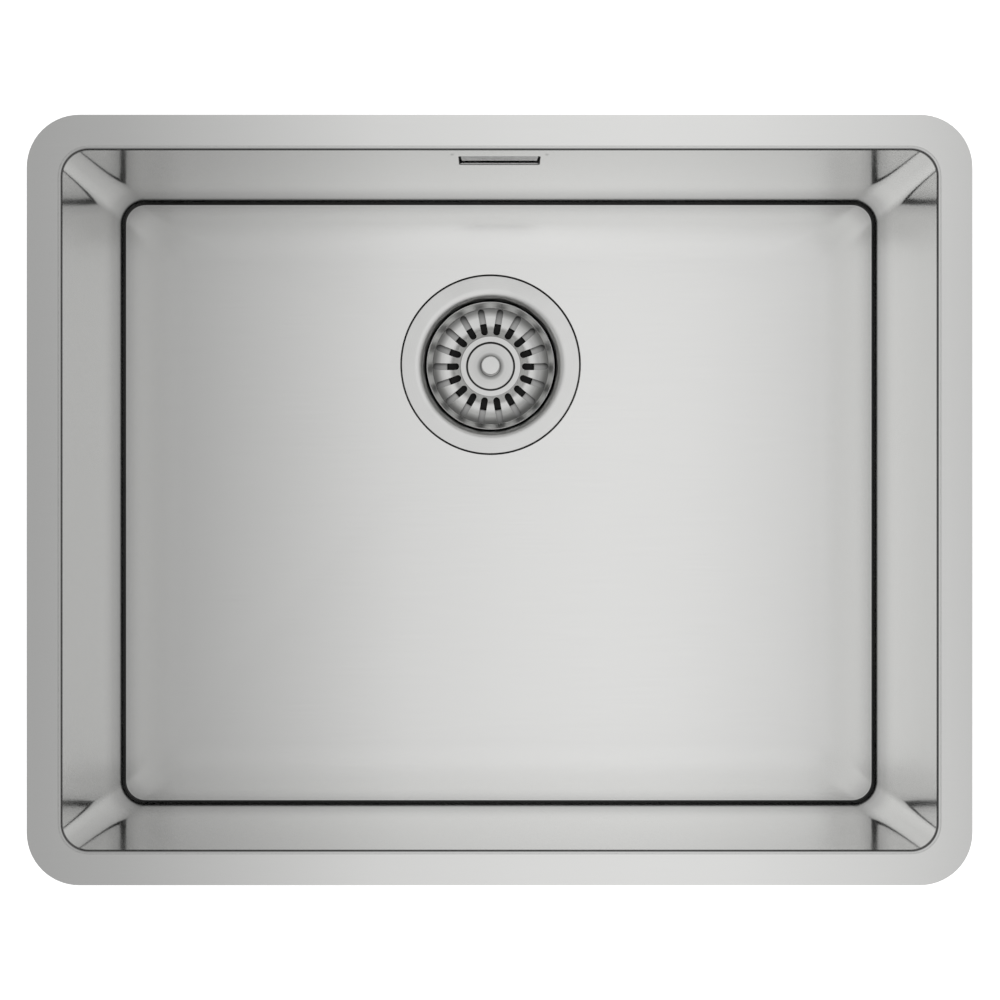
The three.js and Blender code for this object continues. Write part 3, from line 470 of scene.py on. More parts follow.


# tones by depth go by height from the flange's top, tones by reach by distance from the waste's
# axis;
# painted shade darkens the cup below its shoulder, the basket's bends and gaps and round the knob's
# head, and painted light brightens the seat and the collar
turnedSteels = {
    "flange_steel": {
        "color": (0.80, 0.80, 0.79), "roughness": 0.3,
        "depthPaintedShadeAndLight": [(-0.03, 0.75), (-0.026, 0.6), (-0.0235, 0.3), (-0.021, 0.1), (-0.0048, 0.1),
            (-0.0034, 0.55), (-0.0016, 1.05), (0, 1.0)],
        "reachPaintedShadeAndLight": [(0.0290, 1.2), (0.0330, 0.95), (0.0375, 0.5), (0.0400, 0.35), (0.0443, 0.35),
            (0.0446, 1.0)]},
    "basket_steel": {
        "color": (0.78, 0.78, 0.77), "roughness": 0.33,
        "reachPaintedShadeAndLight": [(0.0150, 0.08), (0.0164, 0.08), (0.0166, 1.0), (0.0199, 1.0), (0.0201, 0.5),
            (0.0205, 0.5), (0.0208, 1.0), (0.0335, 1.0), (0.0372, 0.45), (0.0389, 0.4),
            (0.0394, 1.1), (0.0415, 1.15), (0.0427, 1.1), (0.0429, 0.15)]},
    "knob_steel": {
        "color": (0.78, 0.78, 0.77), "roughness": 0.36,
        "reachPaintedShadeAndLight": [(0.0, 1.05), (0.0062, 1.05), (0.0064, 0.2), (0.0072, 0.4), (0.0095, 0.95),
            (0.0150, 1.0), (0.01532, 0.4)]},
}
turnedMarks = {"scale": 2400, "flatten": (1, 1, 0.02), "tone": (0.97, 1.02), "strength": 0.2,
    "depth": 0.000004, "cloud": 60, "shine": (0.92, 1.1)}


def turnedSteel(name, look):
    # fine marks round the waste's axis
    marks = turnedMarks
    coords = newFinish(name, look)
    place = vectorMath("SUBTRACT", coords, [value / 1000 for value in wasteTop])
    flat = vectorMath("MULTIPLY", place, marks["flatten"])
    reach = vectorMath("LENGTH", flat, result="Value")
    rings = node("TexNoise", {"W": reach, "Scale": marks["scale"], "Detail": 3},
        noise_dimensions="1D").outputs["Fac"]
    shine = [look["roughness"] * share for share in marks["shine"]]
    drive("Roughness", spread(noise(coords, marks["cloud"]), *shine))
    tone = spread(rings, *marks["tone"])
    # the turned marks are the steel's own; the tones by depth and reach add painted shade and
    # painted light
    if "depthPaintedShadeAndLight" in look:
        tone = times(tone, toneAlong(along(place, "Z"), look["depthPaintedShadeAndLight"]))
    tone = times(tone, toneAlong(reach, look["reachPaintedShadeAndLight"]))
    driveColor(look["color"], tone)
    bumps([(rings, marks["strength"], marks["depth"])])


# a noise is its scale, detail and stretch: shine spreads the roughness by one, shade the colour,
# and grain (strength, depth) is what stands up; cells are a leathery grain below that
brushed = (2400, 3, (0.01, 1, 1))
plainFinishes = {
    "cover_steel": {
        "color": (0.88, 0.88, 0.87), "roughness": 0.45, "shine": ((80,), 0.42, 0.5),
        "shade": (brushed, 0.87, 0.91), "grain": (brushed, 0.2, 0.000004)},
    "zinc_steel": {
        "color": (0.62, 0.64, 0.67), "roughness": 0.34, "shine": ((220, 5), 0.28, 0.46),
        "shade": ((90,), (0.55, 0.57, 0.60), (0.70, 0.71, 0.72)),
        "grain": ((220, 5), 0.2, 0.00003)},
    "brass": {
        "color": (0.74, 0.55, 0.26), "roughness": 0.28,
        "shade": ((150,), (0.60, 0.42, 0.18), (0.78, 0.60, 0.30)),
        "grain": ((1200, 2, (0.05, 0.05, 1)), 0.3, 0.00002)},
    "black_rubber": {
        "color": (0.012, 0.012, 0.013), "roughness": 0.62, "metal": 0, "specular": 0.2,
        "shine": ((120, 4), 0.52, 0.74), "shade": ((120, 4), 0.008, 0.017),
        "grain": ((1500, 2), 0.15, 0.00004)},
    "black_plastic": {
        "color": (0.022, 0.023, 0.025), "roughness": 0.42, "metal": 0, "shine": ((45,), 0.36, 0.5),
        "shade": ((30,), (0.018, 0.019, 0.021), (0.03, 0.031, 0.033)),
        "grain": ((1400,), 0.35, 0.00005)},
    "grey_plastic": {
        "color": (0.36, 0.37, 0.38), "roughness": 0.4, "metal": 0, "shine": ((60, 4), 0.34, 0.5),
        "shade": ((60, 4), (0.33, 0.34, 0.35), (0.40, 0.41, 0.42)),
        "grain": ((800, 2), 0.1, 0.00003)},
    "pad_rubber": {
        "color": (0.06, 0.06, 0.063), "roughness": 0.8, "metal": 0, "shine": ((14,), 0.7, 0.92),
        "shade": ((700, 2), (0.045, 0.045, 0.048), (0.085, 0.085, 0.088)),
        "cells": (420, 0.5, 0.0002), "grain": ((700, 2), 0.2, 0.00005)},
}


def plainFinish(name, look):
    coords = newFinish(name, look)
    if "specular" in look:
        bench["shader"].inputs["Specular IOR Level"].default_value = look["specular"]
    if "shine" in look:
        drawn, low, high = look["shine"]
        drive("Roughness", spread(noise(coords, *drawn), low, high))
    drawn, dark, pale = look["shade"]
    drive("Base Color", ramp(noise(coords, *drawn), [(0.35, dark), (0.65, pale)]))
    heights = []
    if "cells" in look:
        scale, strength, depth = look["cells"]
        cells = node("TexVoronoi", {"Vector": coords, "Scale": scale}).outputs["Distance"]
        heights.append((cells, strength, depth))
    drawn, strength, depth = look["grain"]
    bumps(heights + [(noise(coords, *drawn), strength, depth)])


satinSteel(satin)
for name, look in turnedSteels.items():
    turnedSteel(name, look)
for name, look in plainFinishes.items():
    plainFinish(name, look)
print("finishes ready")


bowl = {
    "length": 500, "width": 400, "depth": 200, "corner": 15, "sheet": 1,
    "rimBreadth": 19.99, "rimCorner": 30, "rimRound": 2,
    "floorRound": 2.4, "floorBand": 14, "bandCorner": 9,
    "floorFall": 1.5, "fallSteps": 14, "fallBend": 1.4,
    "recessRadius": 60.1, "recessDepth": 3, "recessRound": 0.3, "holeRadius": 47,
    "cells": (96, 64), "cornerSteps": 14, "bendSteps": 8,
}
overflow = {
    "top": 22.5, "width": 47.5, "height": 29, "corner": 2, "cornerSteps": 6,
    "edge": 0.8, "edgeSteps": 4, "reach": 4, "patchMargin": 3,
}
openingMiddle = -overflow["top"] - overflow["height"] / 2


def cutOverflow(bm):
    # opens the back wall and turns the steel round the opening backwards
    wall = bowl["width"] / 2
    margin, edge = overflow["patchMargin"], overflow["edge"]
    right = overflow["width"] / 2 + margin
    top = -overflow["top"] + margin
    foot = -overflow["top"] - overflow["height"] - margin

    def wallFaces(reach):
        return [f for f in bm.faces if abs(f.normal.y) > 0.99
            and f.calc_center_median().y > wall - 0.1 and abs(f.calc_center_median().x) < reach]

    cuts = [((x, 0, 0), (1, 0, 0), wall * 2) for x in (right, -right)]
    cuts += [((0, 0, z), (0, 0, 1), right + 0.01) for z in (top, foot)]
    for place, across, reach in cuts:
        faces = wallFaces(reach)
        edges = {e for f in faces for e in f.edges}
        verts = {v for f in faces for v in f.verts}
        bmesh.ops.bisect_plane(bm, geom=faces + list(edges) + list(verts), dist=1e-3,
            plane_co=place, plane_no=across)
    patch = [f for f in wallFaces(right) if foot < f.calc_center_median().z < top]
    border = [e for e in {e for f in patch for e in f.edges}
        if sum(f in patch for f in e.link_faces) == 1]
    bmesh.ops.delete(bm, geom=patch, context="FACES")
    opening = roundedFace(bm, overflow["width"] + 2 * edge, overflow["height"] + 2 * edge,
        overflow["corner"] + edge, at(0, wall, openingMiddle) @ towardFront,
        overflow["cornerSteps"])
    bmesh.ops.triangle_fill(bm, edges=border + list(opening.edges), use_beauty=True,
        normal=(0, -1, 0))
    sinkFace(bm, opening, overEdge(edge, overflow["edgeSteps"]) + [(0, overflow["reach"] - edge)])
    openFace(bm, opening)


def makeBowl():
    bm = bmesh.new()
    depth, roll, hollow = bowl["depth"], bowl["rimRound"], bowl["floorRound"]

    def outline(grow, corner, height=0):
        return roundedFace(bm, bowl["length"] + grow, bowl["width"] + grow, corner,
            at(0, 0, height), bowl["cornerSteps"], bowl["cells"])

    face = outline(2 * roll, bowl["corner"] + roll)
    mouth = list(face.edges)
    sinkFace(bm, face, overEdge(roll, bowl["bendSteps"]) + [(0, depth - roll - hollow)]
        + intoFloor(hollow, bowl["bendSteps"]))
    floorEdge = openFace(bm, face)
    creaseRing = openFace(bm, outline(-2 * bowl["floorBand"], bowl["bandCorner"], -depth))
    bmesh.ops.bridge_loops(bm, edges=floorEdge + creaseRing)

    # the floor falls from the crease to the recess, gently at first
    wasteRing, verts = extrudeRing(bm, creaseRing)
    inner = set(verts)
    radius = bowl["recessRadius"] + bowl["recessRound"]
    for v in verts:
        away = (v.co - wasteAxis).xy.normalized() * radius
        v.co = (wasteAxis.x + away.x, wasteAxis.y + away.y, -depth - bowl["floorFall"])
    spokes = [e for v in verts for e in v.link_edges if not set(e.verts) <= inner]
    bmesh.ops.subdivide_edges(bm, edges=spokes, cuts=bowl["fallSteps"])
    for v in bm.verts:
        share = (-depth - v.co.z) / bowl["floorFall"]
        if 0 < share < 1:
            v.co.z = -depth - bowl["floorFall"] * share ** bowl["fallBend"]

    # the recess for the strainer's flange
    steps = overEdge(bowl["recessRound"], 4)
    steps += [(0, bowl["recessDepth"] - bowl["recessRound"]),
        (bowl["recessRadius"] - bowl["holeRadius"], 0)]
    for inward, down in steps:
        wasteRing, verts = extrudeRing(bm, wasteRing)
        grow = (radius - inward) / radius
        bmesh.ops.scale(bm, vec=(grow, grow, 1), verts=verts, space=Matrix.Translation(-wasteAxis))
        bmesh.ops.translate(bm, vec=(0, 0, -down), verts=verts)
        radius -= inward

    rimRing = openFace(bm, outline(2 * bowl["rimBreadth"], bowl["rimCorner"]))
    bmesh.ops.bridge_loops(bm, edges=rimRing + mouth)
    cutOverflow(bm)
    fixNormals(bm)
    faceUp(bm, lambda f: f.calc_area() if f.calc_center_median().z > -0.01 else 0)
    piece = makePiece("bowl", bm, "satin_steel", "sink_bowl")
    thick = piece.modifiers.new("sheet", "SOLIDIFY")
    thick.thickness = bowl["sheet"] / 1000
    thick.offset = -1
    thick.use_even_offset = True
    evenNormals(piece)


makeBowl()
print("bowl pressed")


# the waste's heights are from the top of its flange
cup = {
    "flangeRadius": 59.2, "flangeEdge": [(-0.1, -0.2), (-0.3, 0)], "wallRadius": 44.3,
    "shoulder": 6.5, "depth": 25.5, "bottomBend": 4, "seatRadius": 26.5, "seatBend": 1.2,
    "hubRadius": 12, "hubDrop": 9.5, "hubBend": 1, "screwHole": 5.3, "sheet": 0.7,
    "holes": 8, "holeRadius": 4, "drillDepth": 16, "drillRise": 4, "steps": 144,
}


def makeCup():
    wall, seat, hubRadius = cup["wallRadius"], cup["seatRadius"], cup["hubRadius"]
    foot = -cup["depth"]
    hub = foot - cup["hubDrop"]
    edge = [(cup["flangeRadius"] + out, up) for out, up in cup["flangeEdge"]]
    bm = spun(edge + [(wall, 0), (wall, foot), (seat, foot), (hubRadius, hub),
        (cup["screwHole"], hub)], cup["steps"])
    roundRings(bm, [(wall, 0, cup["shoulder"])], 12)
    roundRings(bm, [(wall, foot, cup["bottomBend"])], 8)
    roundRings(bm, [(seat, foot, cup["seatBend"]), (hubRadius, hub, cup["hubBend"])], 4)
    thicken(bm, cup["sheet"], lambda f: f.calc_center_median().z)
    piece = makePiece("drain_cup", bm, "flange_steel", "strainer_cup", place=overWaste)
    drills = bmesh.new()
    for i in range(cup["holes"]):
        drill(drills, cup["holeRadius"], cup["drillDepth"], 32,
            partTurn(i, cup["holes"]) @ at((seat + hubRadius) / 2, 0, hub + cup["drillRise"]))
    cutAway(piece, drills, overWaste)
    evenNormals(piece)


basket = {
    "lipRadius": 43.2, "lipDepth": 8.8, "lipRoll": 0.5, "lipTurn": 1.4, "lipBend": 0.25,
    "collarRadius": 39.2, "collarDepth": 14.6, "collarBend": 0.9,
    "valleyRadius": 28, "valleyDepth": 19.4, "valleySteps": 10, "riseSteps": 12,
    "ringOuter": 20.6, "ringInner": 16.4, "ringDepth": 15.2, "ringBends": (0.4, 0.2),
    "pocketDepth": 17.7, "pocketBend": 0.5, "stemHole": 3.1, "sheet": 0.7, "steps": 144,
    "slots": 18, "slotWidth": 4.5, "slotInner": 21.2, "slotOuter": 38.8,
    "punchFoot": -26, "punchDepth": 20, "punchedEdge": 0.12,
}


def easedBetween(start, end, count, bend):
    # points from start to end whose height follows the bend function of the share
    return [(start[0] + (end[0] - start[0]) * i / count,
        start[1] + (end[1] - start[1]) * bend(i / count)) for i in range(1, count + 1)]


def makeBasket():
    b = basket
    lip, roll, lipFoot = b["lipRadius"], b["lipRoll"], -b["lipDepth"] - b["lipRoll"]
    collar = (b["collarRadius"], -b["collarDepth"])
    valley = (b["valleyRadius"], -b["valleyDepth"])
    ring = (b["ringOuter"], -b["ringDepth"])
    ringInside = (b["ringInner"], -b["ringDepth"])
    pocket = (b["ringInner"], -b["pocketDepth"])
    lipBends = [(lip, lipFoot), (lip - roll, -b["lipDepth"]), (lip - 2 * roll, lipFoot)]
    profile = [(lip, -b["lipDepth"] - b["lipTurn"]), *lipBends, collar]
    profile += easedBetween(collar, valley, b["valleySteps"], lambda s: math.sin(s * math.pi / 2))
    profile += easedBetween(valley, ring, b["riseSteps"], lambda s: 1 - math.cos(s * math.pi / 2))
    bm = spun(profile + [ringInside, pocket, (b["stemHole"], -b["pocketDepth"])], b["steps"])
    outerBend, innerBend = b["ringBends"]
    roundRings(bm, [(*ring, outerBend), (*ringInside, innerBend), (*pocket, b["pocketBend"]),
        (*collar, b["collarBend"])], 4)
    roundRings(bm, [(*bend, b["lipBend"]) for bend in lipBends], 3)
    thicken(bm, b["sheet"], lambda f: abs(f.normal.z))
    piece = makePiece("strainer_bowl", bm, "basket_steel", "strainer_basket", "strainer", overWaste)
    punches = bmesh.new()
    middle = (b["slotOuter"] + b["slotInner"]) / 2
    for i in range(b["slots"]):
        slot = roundedFace(punches, b["slotOuter"] - b["slotInner"], b["slotWidth"],
            b["slotWidth"] / 2 - 0.01,
            partTurn(i, b["slots"]) @ at(middle, 0, b["punchFoot"]), 8)
        pushOut(punches, [slot], (0, 0, b["punchDepth"]))
    cutAway(piece, punches, overWaste)
    edge = piece.modifiers.new("punchedEdge", "BEVEL")
    edge.width = b["punchedEdge"] / 1000
    edge.segments = 2
    edge.limit_method = "ANGLE"
    edge.angle_limit = math.radians(50)
    evenNormals(piece)


def hexNut(size):
    # a nut with its corners softened
    bore, across = size["bore"], size["flats"]
    bm = bmesh.new()
    circle = bmesh.ops.create_circle(bm, segments=6, radius=across / math.sqrt(3), cap_ends=True)
    bmesh.ops.translate(bm, vec=(0, 0, size["foot"]), verts=circle["verts"])
    face = bm.faces[:][0]
    bmesh.ops.inset_region(bm, faces=[face], thickness=across / 2 - bore, depth=0,
        use_even_offset=True, use_boundary=True)
    bevel(bm, list(face.verts), bore * 0.45, 4, "VERTICES")
    openFace(bm, min(bm.faces, key=lambda f: f.calc_center_median().xy.length
        + (0 if len(f.verts) > 8 else 9)))
    pushOut(bm, bm.faces[:], (0, 0, size["top"] - size["foot"]))
    roundSharp(bm, min(0.35, across * 0.04), 3, 40)
    return bm


knob = {"profile": [(0, -17.4), (15.35, -17.4, 0.3), (15.35, -15.8, 0.2), (4.4, -15.8, 3.6),
    (4.4, -10.2, 0.8), (6.3, -8.6, 0.5), (6.3, -5.0, 0.8), (0, -5.0)],
    "segments": 5}
seal = {"profile": [(3.1, -18.7), (15.9, -18.7, 0.4), (15.9, -20.4, 0.5), (28.4, -20.4, 0.6),
    (29.4, -21.6, 0.5), (29.4, -25.2, 0.5), (27.6, -25.2, 0.5), (27.4, -22.9, 0.5),
    (3.1, -22.9)]}
sealPlate = {"profile": [(3.1, -24.2, 0.15), (18, -24.2, 0.3), (18, -23.0, 0.3), (3.1, -23.0)]}
plugNut = {"flats": 10, "foot": -28.5, "top": -24.3, "bore": 3.1}
stem = {"profile": [(0, -17.5), (3, -17.5), (3, -31.7, 0.1), (2.7, -31.9), (2.7, -42.1),
    (3.45, -42.3, 0.3), (3.0, -43.8, 0.4), (0, -43.8)],
    "steps": 48, "thread": (2.85, -30.6, 0.7, 9, 0.14)}
sleeve = {"profile": [(2.9, -42), (3.6, -42, 0.2), (3.6, -32, 0.2), (2.9, -32)], "steps": 48,
    "slit": ((0, -0.45, -43), (8, 0.45, -33))}


def makeStrainer():
    for name, bm, finish, node, even in (
            ("strainer_knob", turned(knob), "knob_steel", "basket_knob", True),
            ("drain_seal", turned(seal), "black_rubber", "plug_seal", True),
            ("seal_plate", turned(sealPlate), "zinc_steel", "seal_backing", True),
            ("plug_nut", hexNut(plugNut), "zinc_steel", "stem_nut", True),
            ("plug_stem_turned", turned(stem), "zinc_steel", "plug_stem", False)):
        makePiece(name, bm, finish, node, "strainer", overWaste, even)
    piece = makePiece("catch_sleeve_split", turned(sleeve), "grey_plastic", "stem_sleeve",
        "catch_sleeve", overWaste)
    slit = bmesh.new()
    block(slit, *sleeve["slit"])
    cutAway(piece, slit, overWaste)


makeCup()
makeBasket()
makeStrainer()
print("strainer made")


flangeGasket = {"profile": [(51.1, -2.9), (60, -2.9, 0.3), (60, -1.0, 0.3), (51.1, -1.0)]}
bodyGasket = {"profile": [(47, -6.1), (57.5, -6.1, 0.5), (57.5, -4.1, 0.5), (47, -4.1)]}
wasteBody = {
    "profile": [(47, -6.2), (58.5, -6.2, 0.8), (58.5, -10.2, 1), (52.3, -10.2, 2), (52.3, -42.2, 5),
        (26.7, -58.2, 3), (23.9, -61.0), (23.9, -65.0), (22.8, -65.8), (22.8, -93.6),
        (22.2, -94.2), (20.5, -94.2), (20.5, -58.2, 3), (49.5, -39.4, 3), (49.5, -9.2),
        (47, -8.2)],
    "steps": 144, "segments": 6, "thread": (22.8, -91.6, 2.3, 10.5, 1.05, 72),
    "ribs": 4, "rib": ((9, -1.5, -72), (21.5, 1.5, -59.2)),
    "webs": 12, "web": ((51.8, -1, -21), (56.9, 1, -9.7)), "webFoot": 52.5,
}
branch = {
    "profile": [(6.7, 50.5), (13.5, 50.5), (13.5, 53.7, 0.8), (11.5, 55.3), (11.5, 66.3, 0.8),
        (8.5, 66.3, 0.5), (8.5, 84.3, 0.5), (6.7, 84.3)],
    "steps": 64, "segments": 4, "height": -24,
}
boss = {"profile": [(5.3, -73), (9.5, -73, 0.6), (9.5, -50, 0.8), (5.3, -50)], "steps": 64,
    "segments": 4}


def makeWasteBody():
    bm = turned(wasteBody)

    # the branch that takes the overflow, with a bead where it leaves the body
    spout = turned(branch)
    bmesh.ops.transform(spout, matrix=at(0, 0, branch["height"]) @ towardBack, verts=spout.verts)
    addMesh(bm, spout)

    # the screw's boss on four ribs inside the outlet
    addMesh(bm, turned(boss))
    ribs = bmesh.new()
    for i in range(wasteBody["ribs"]):
        block(ribs, *wasteBody["rib"], partTurn(i + 0.5, wasteBody["ribs"]))
    roundSharp(ribs, 0.5)
    addMesh(bm, ribs)

    # webs under the flange, which run to a point below
    webs = bmesh.new()
    low, high = wasteBody["web"]
    for i in range(wasteBody["webs"]):
        web = block(webs, low, high)
        for v in web:
            if v.co.z < low[2] + 1 and v.co.x > wasteBody["webFoot"]:
                v.co.x = wasteBody["webFoot"]
        bmesh.ops.transform(webs, matrix=partTurn(i + 0.5, wasteBody["webs"]), verts=web)
    roundSharp(webs, 0.4, 2)
    addMesh(bm, webs)
    makePiece("waste_housing", bm, "black_plastic", "waste_body", place=overWaste, even=True)


screw = {"profile": [(0, -71), (3.75, -71), (4.7, -70), (4.7, -38), (5, -37.6), (5, -34.7),
    (9, -34.7, 0.4), (9, -30.7, 1.0), (3.9, -30.7, 0.3), (3.9, -44.2), (0, -44.2)],
    "steps": 64, "segments": 4, "thread": (4.7, -69.5, 1.5, 20, 0.28, 36)}
insert = {"profile": [(5.1, -72, 0.3), (7.2, -72, 0.3), (7.2, -63), (5.1, -63)], "steps": 48}

makePiece("flange_seal", turned(flangeGasket), "black_rubber", "flange_gasket", place=overWaste)
makePiece("body_seal", turned(bodyGasket), "black_rubber", "body_gasket", place=overWaste)
makeWasteBody()
makePiece("clamping_screw", turned(screw), "zinc_steel", "centre_screw", place=overWaste)
makePiece("brass_insert", turned(insert), "brass", "screw_insert", place=overWaste)
print("waste body made")


cover = {"top": -23.3, "half": 23.35, "footHalf": 22.15, "height": 16.5, "sheet": 0.8, "rake": 9.07,
    "face": 203.0, "footStart": 0.2, "footReturn": 3.5, "edge": 0.2, "legHalf": 3,
    "legMiddle": 15, "legTop": -31.55, "legThick": 1.2, "legRun": (202.2, 221.7)}


def makeCover():
    c = cover
    # the plate and its foot, narrower towards the foot, then raked
    bm = bmesh.new()
    half, foot = c["half"], -c["height"]
    block(bm, (-half, 0, foot), (half, c["sheet"], 0))
    block(bm, (-half, c["footStart"], foot), (half, c["footReturn"], foot + c["sheet"]))
    for v in bm.verts:
        v.co.x *= 1 + (c["footHalf"] / half - 1) * (-v.co.z / c["height"])
    roundSharp(bm, c["edge"])
    rake = at(0, c["face"], c["top"]) @ Matrix.Rotation(-math.radians(c["rake"]), 4, "X")
    bmesh.ops.transform(bm, matrix=rake, verts=bm.verts)
    legs = bmesh.new()
    start, end = c["legRun"]
    for side in (-1, 1):
        middle = side * c["legMiddle"]
        block(legs, (middle - c["legHalf"], start, c["legTop"] - c["legThick"]),
            (middle + c["legHalf"], end, c["legTop"]))
    roundSharp(legs, c["edge"], 2)
    addMesh(bm, legs)
    makePiece("overflow_plate", bm, "cover_steel", "overflow_cover", even=True)


housing = {
    "roomHalf": 21.25, "roomTop": -25, "slopeTop": -54, "roomBottom": -63, "wall": 2.2, "corner": 2,
    "face": 203.2, "boxFace": 206.2, "back": 224.2, "flangeCorner": 6, "margin": 6.5,
    "studHalf": 27.5, "studHeight": -16.3, "studHole": 2.3, "drillDepth": 9,
    "lipRoom": 2.6, "lipCorner": 3.3, "lipDepth": 2.1,
    "spigotRadius": 8.5, "spigotBore": 6.7, "spigotY": 215.2,
    "shelfMiddle": 15, "shelf": ((-3, 219, -34.7), (3, 222.5, -33.05)),
    "ribs": (-12, 0, 12), "rib": ((-0.8, 222.6, -50), (0.8, 224.15, -30)),
}
spigot = {"profile": [(6.7, -83.2), (8.5, -83.2, 0.5), (8.5, -66.4), (9.9, -65.0), (9.9, -64),
    (6.7, -64)], "steps": 64}
overflowGasket = {"face": 201.1, "thickness": 2, "holesFrom": 200, "holesDepth": 5}


def sixCorners(half, high, neck, low):
    # the outline of housing and flange, which narrows below to the spigot
    slope = housing["slopeTop"]
    return [(-half, high), (-half, slope), (-neck, low), (neck, low), (half, slope), (half, high)]


def housingCorners(grow):
    h = housing
    return sixCorners(h["roomHalf"] + grow, h["roomTop"] + grow, h["spigotRadius"] + grow,
        h["roomBottom"] - grow)


def flangeCorners():
    h = housing
    return sixCorners(h["studHalf"] + h["margin"], h["studHeight"] + h["margin"],
        h["spigotRadius"] + h["wall"] + h["margin"], h["roomBottom"] - h["wall"])


def housingBlock(corners, corner, start, depth):
    bm = bmesh.new()
    plate(bm, outlineFace(bm, corners, corner, start), depth)
    return bm


def lipBlock(start, depth):
    # the room that the pressed lip of the opening takes
    bm = bmesh.new()
    room = housing["lipRoom"]
    face = roundedFace(bm, overflow["width"] + room, overflow["height"] + room,
        housing["lipCorner"], at(0, start, openingMiddle) @ towardBack, 6)
    plate(bm, face, depth)
    return bm


def studHoles(bm, y):
    for side in (-1, 1):
        place = at(side * housing["studHalf"], y, housing["studHeight"]) @ towardFront
        drill(bm, housing["studHole"], housing["drillDepth"], 32, place)


def shiftedBlocks(size, shifts):
    bm = bmesh.new()
    for shift in shifts:
        block(bm, *[(x + shift, y, z) for x, y, z in size])
    return bm


def makeHousing():
    h = housing
    face, wall = h["face"], h["wall"]
    bm = housingBlock(flangeCorners(), h["flangeCorner"], face, h["boxFace"] - face)
    roundSharp(bm, 0.5)
    shell = housingBlock(housingCorners(wall), h["corner"] + wall, face + 1, h["back"] - face - 1)
    roundSharp(shell, 1.4, 4)
    piece = makePiece("overflow_box", bm, "black_plastic", "overflow_housing")
    cutAway(piece, shell, operation="UNION")
    cutAway(piece, housingBlock(housingCorners(0), h["corner"], face - 1,
        h["back"] - wall - face + 1))
    cutAway(piece, lipBlock(face - 1, h["lipDepth"]))
    drills = bmesh.new()
    studHoles(drills, face + 1.5)
    drill(drills, h["spigotBore"], h["drillDepth"], 48, at(0, h["spigotY"], h["roomBottom"] - 3))
    cutAway(piece, drills)
    evenNormals(piece)
    makePiece("overflow_spigot", turned(spigot), "black_plastic", place=at(0, h["spigotY"], 0))
    shelves = shiftedBlocks(h["shelf"], (-h["shelfMiddle"], h["shelfMiddle"]))
    roundSharp(shelves, 0.3, 2)
    addMesh(shelves, shiftedBlocks(h["rib"], h["ribs"]))
    makePiece("overflow_shelves", shelves, "black_plastic")


def makeOverflowGasket():
    g = overflowGasket
    bm = housingBlock(flangeCorners(), housing["flangeCorner"], g["face"], g["thickness"])
    roundSharp(bm, 0.4)
    piece = makePiece("overflow_seal", bm, "black_rubber", "overflow_gasket")
    holes = lipBlock(g["holesFrom"], g["holesDepth"])
    studHoles(holes, g["holesFrom"] + 2)
    cutAway(piece, holes)
    evenNormals(piece)


# profiles of the studs and what is on them: heights are distances from the middle to the back
stud = {"profile": [(0, 201.1), (1.8, 201.1), (1.8, 212.7), (1.4, 213.1), (0, 213.1)],
    "steps": 32, "thread": (1.8, 203.6, 0.7, 13, 0.18, 28)}
washer = {"profile": [(2.1, 206.3), (4.4, 206.3, 0.2), (4.4, 207.1, 0.2), (2.1, 207.1)],
    "steps": 48}
studNut = {"flats": 7, "foot": 207.2, "top": 210.4, "bore": 2.1}


def makeStuds():
    for side, name in ((-1, "left"), (1, "right")):
        out = at(side * housing["studHalf"], 0, housing["studHeight"]) @ towardBack
        makePiece("stud_" + name, turned(stud), "zinc_steel", "weld_stud_" + name, place=out)
        makePiece("washer_" + name, turned(washer), "zinc_steel", "stud_washer_" + name, place=out,
            even=True)
        makePiece("nut_" + name, hexNut(studNut), "zinc_steel", "stud_nut_" + name, place=out,
            even=True)


makeCover()
makeHousing()
makeOverflowGasket()
makeStuds()
print("overflow made")


hose = {
    "start": (0, 215.2, -68.2), "shiftFrom": (0, 215.2, -83.2), "bendFrom": (-5.5, 215.2, -191.5),
    "corner": (-5.5, 215.2, -225.5), "bendTo": (-5.5, 181.2, -225.5), "end": (-5.5, 161.3, -225.5),
    "bore": 8.8, "root": 9.9, "crest": 11.7, "cuff": 11.0, "cuffLength": 15, "cuffEdge": 0.4,
    "cuffEnd": 0.8, "ribPitch": 5, "segments": 32, "boreSteps": 24,
    "rib": [(0.12, 0.0), (0.24, 0.35), (0.34, 0.85), (0.46, 1.0), (0.6, 1.0), (0.72, 0.85),
        (0.82, 0.35), (0.94, 0.0)],  # share of the pitch, share of the rib's height
}


def hoseRoute(count=400, straight=20):
    # the same route as the solid's: straight, a small shift sideways, one bend, straight
    names = ("start", "shiftFrom", "bendFrom", "corner", "bendTo", "end")
    start, shiftFrom, bendFrom, corner, bendTo, end = [Vector(hose[name]) for name in names]
    out, into = shiftFrom.copy(), bendFrom.copy()
    out.z = into.z = (shiftFrom.z + bendFrom.z) / 2
    shares = [i / count for i in range(count)]
    line = [start.lerp(shiftFrom, i / straight) for i in range(straight)]
    line += [shiftFrom * (1 - t) ** 3 + out * 3 * t * (1 - t) ** 2 + into * 3 * t * t * (1 - t)
        + bendFrom * t ** 3 for t in shares]
    line += [bendFrom * (1 - t) ** 2 + corner * 2 * t * (1 - t) + bendTo * t * t for t in shares]
    line += [bendTo.lerp(end, i / straight) for i in range(straight + 1)]
    return line


def spotOn(line, reach, distance):
    # the place and direction at a distance along the line
    spot = next((i for i in range(1, len(reach)) if reach[i] >= distance), len(reach) - 1)
    share = (distance - reach[spot - 1]) / max(reach[spot] - reach[spot - 1], 1e-6)
    place = line[spot - 1].lerp(line[spot], min(max(share, 0), 1))
    return place, (line[spot] - line[spot - 1]).normalized()


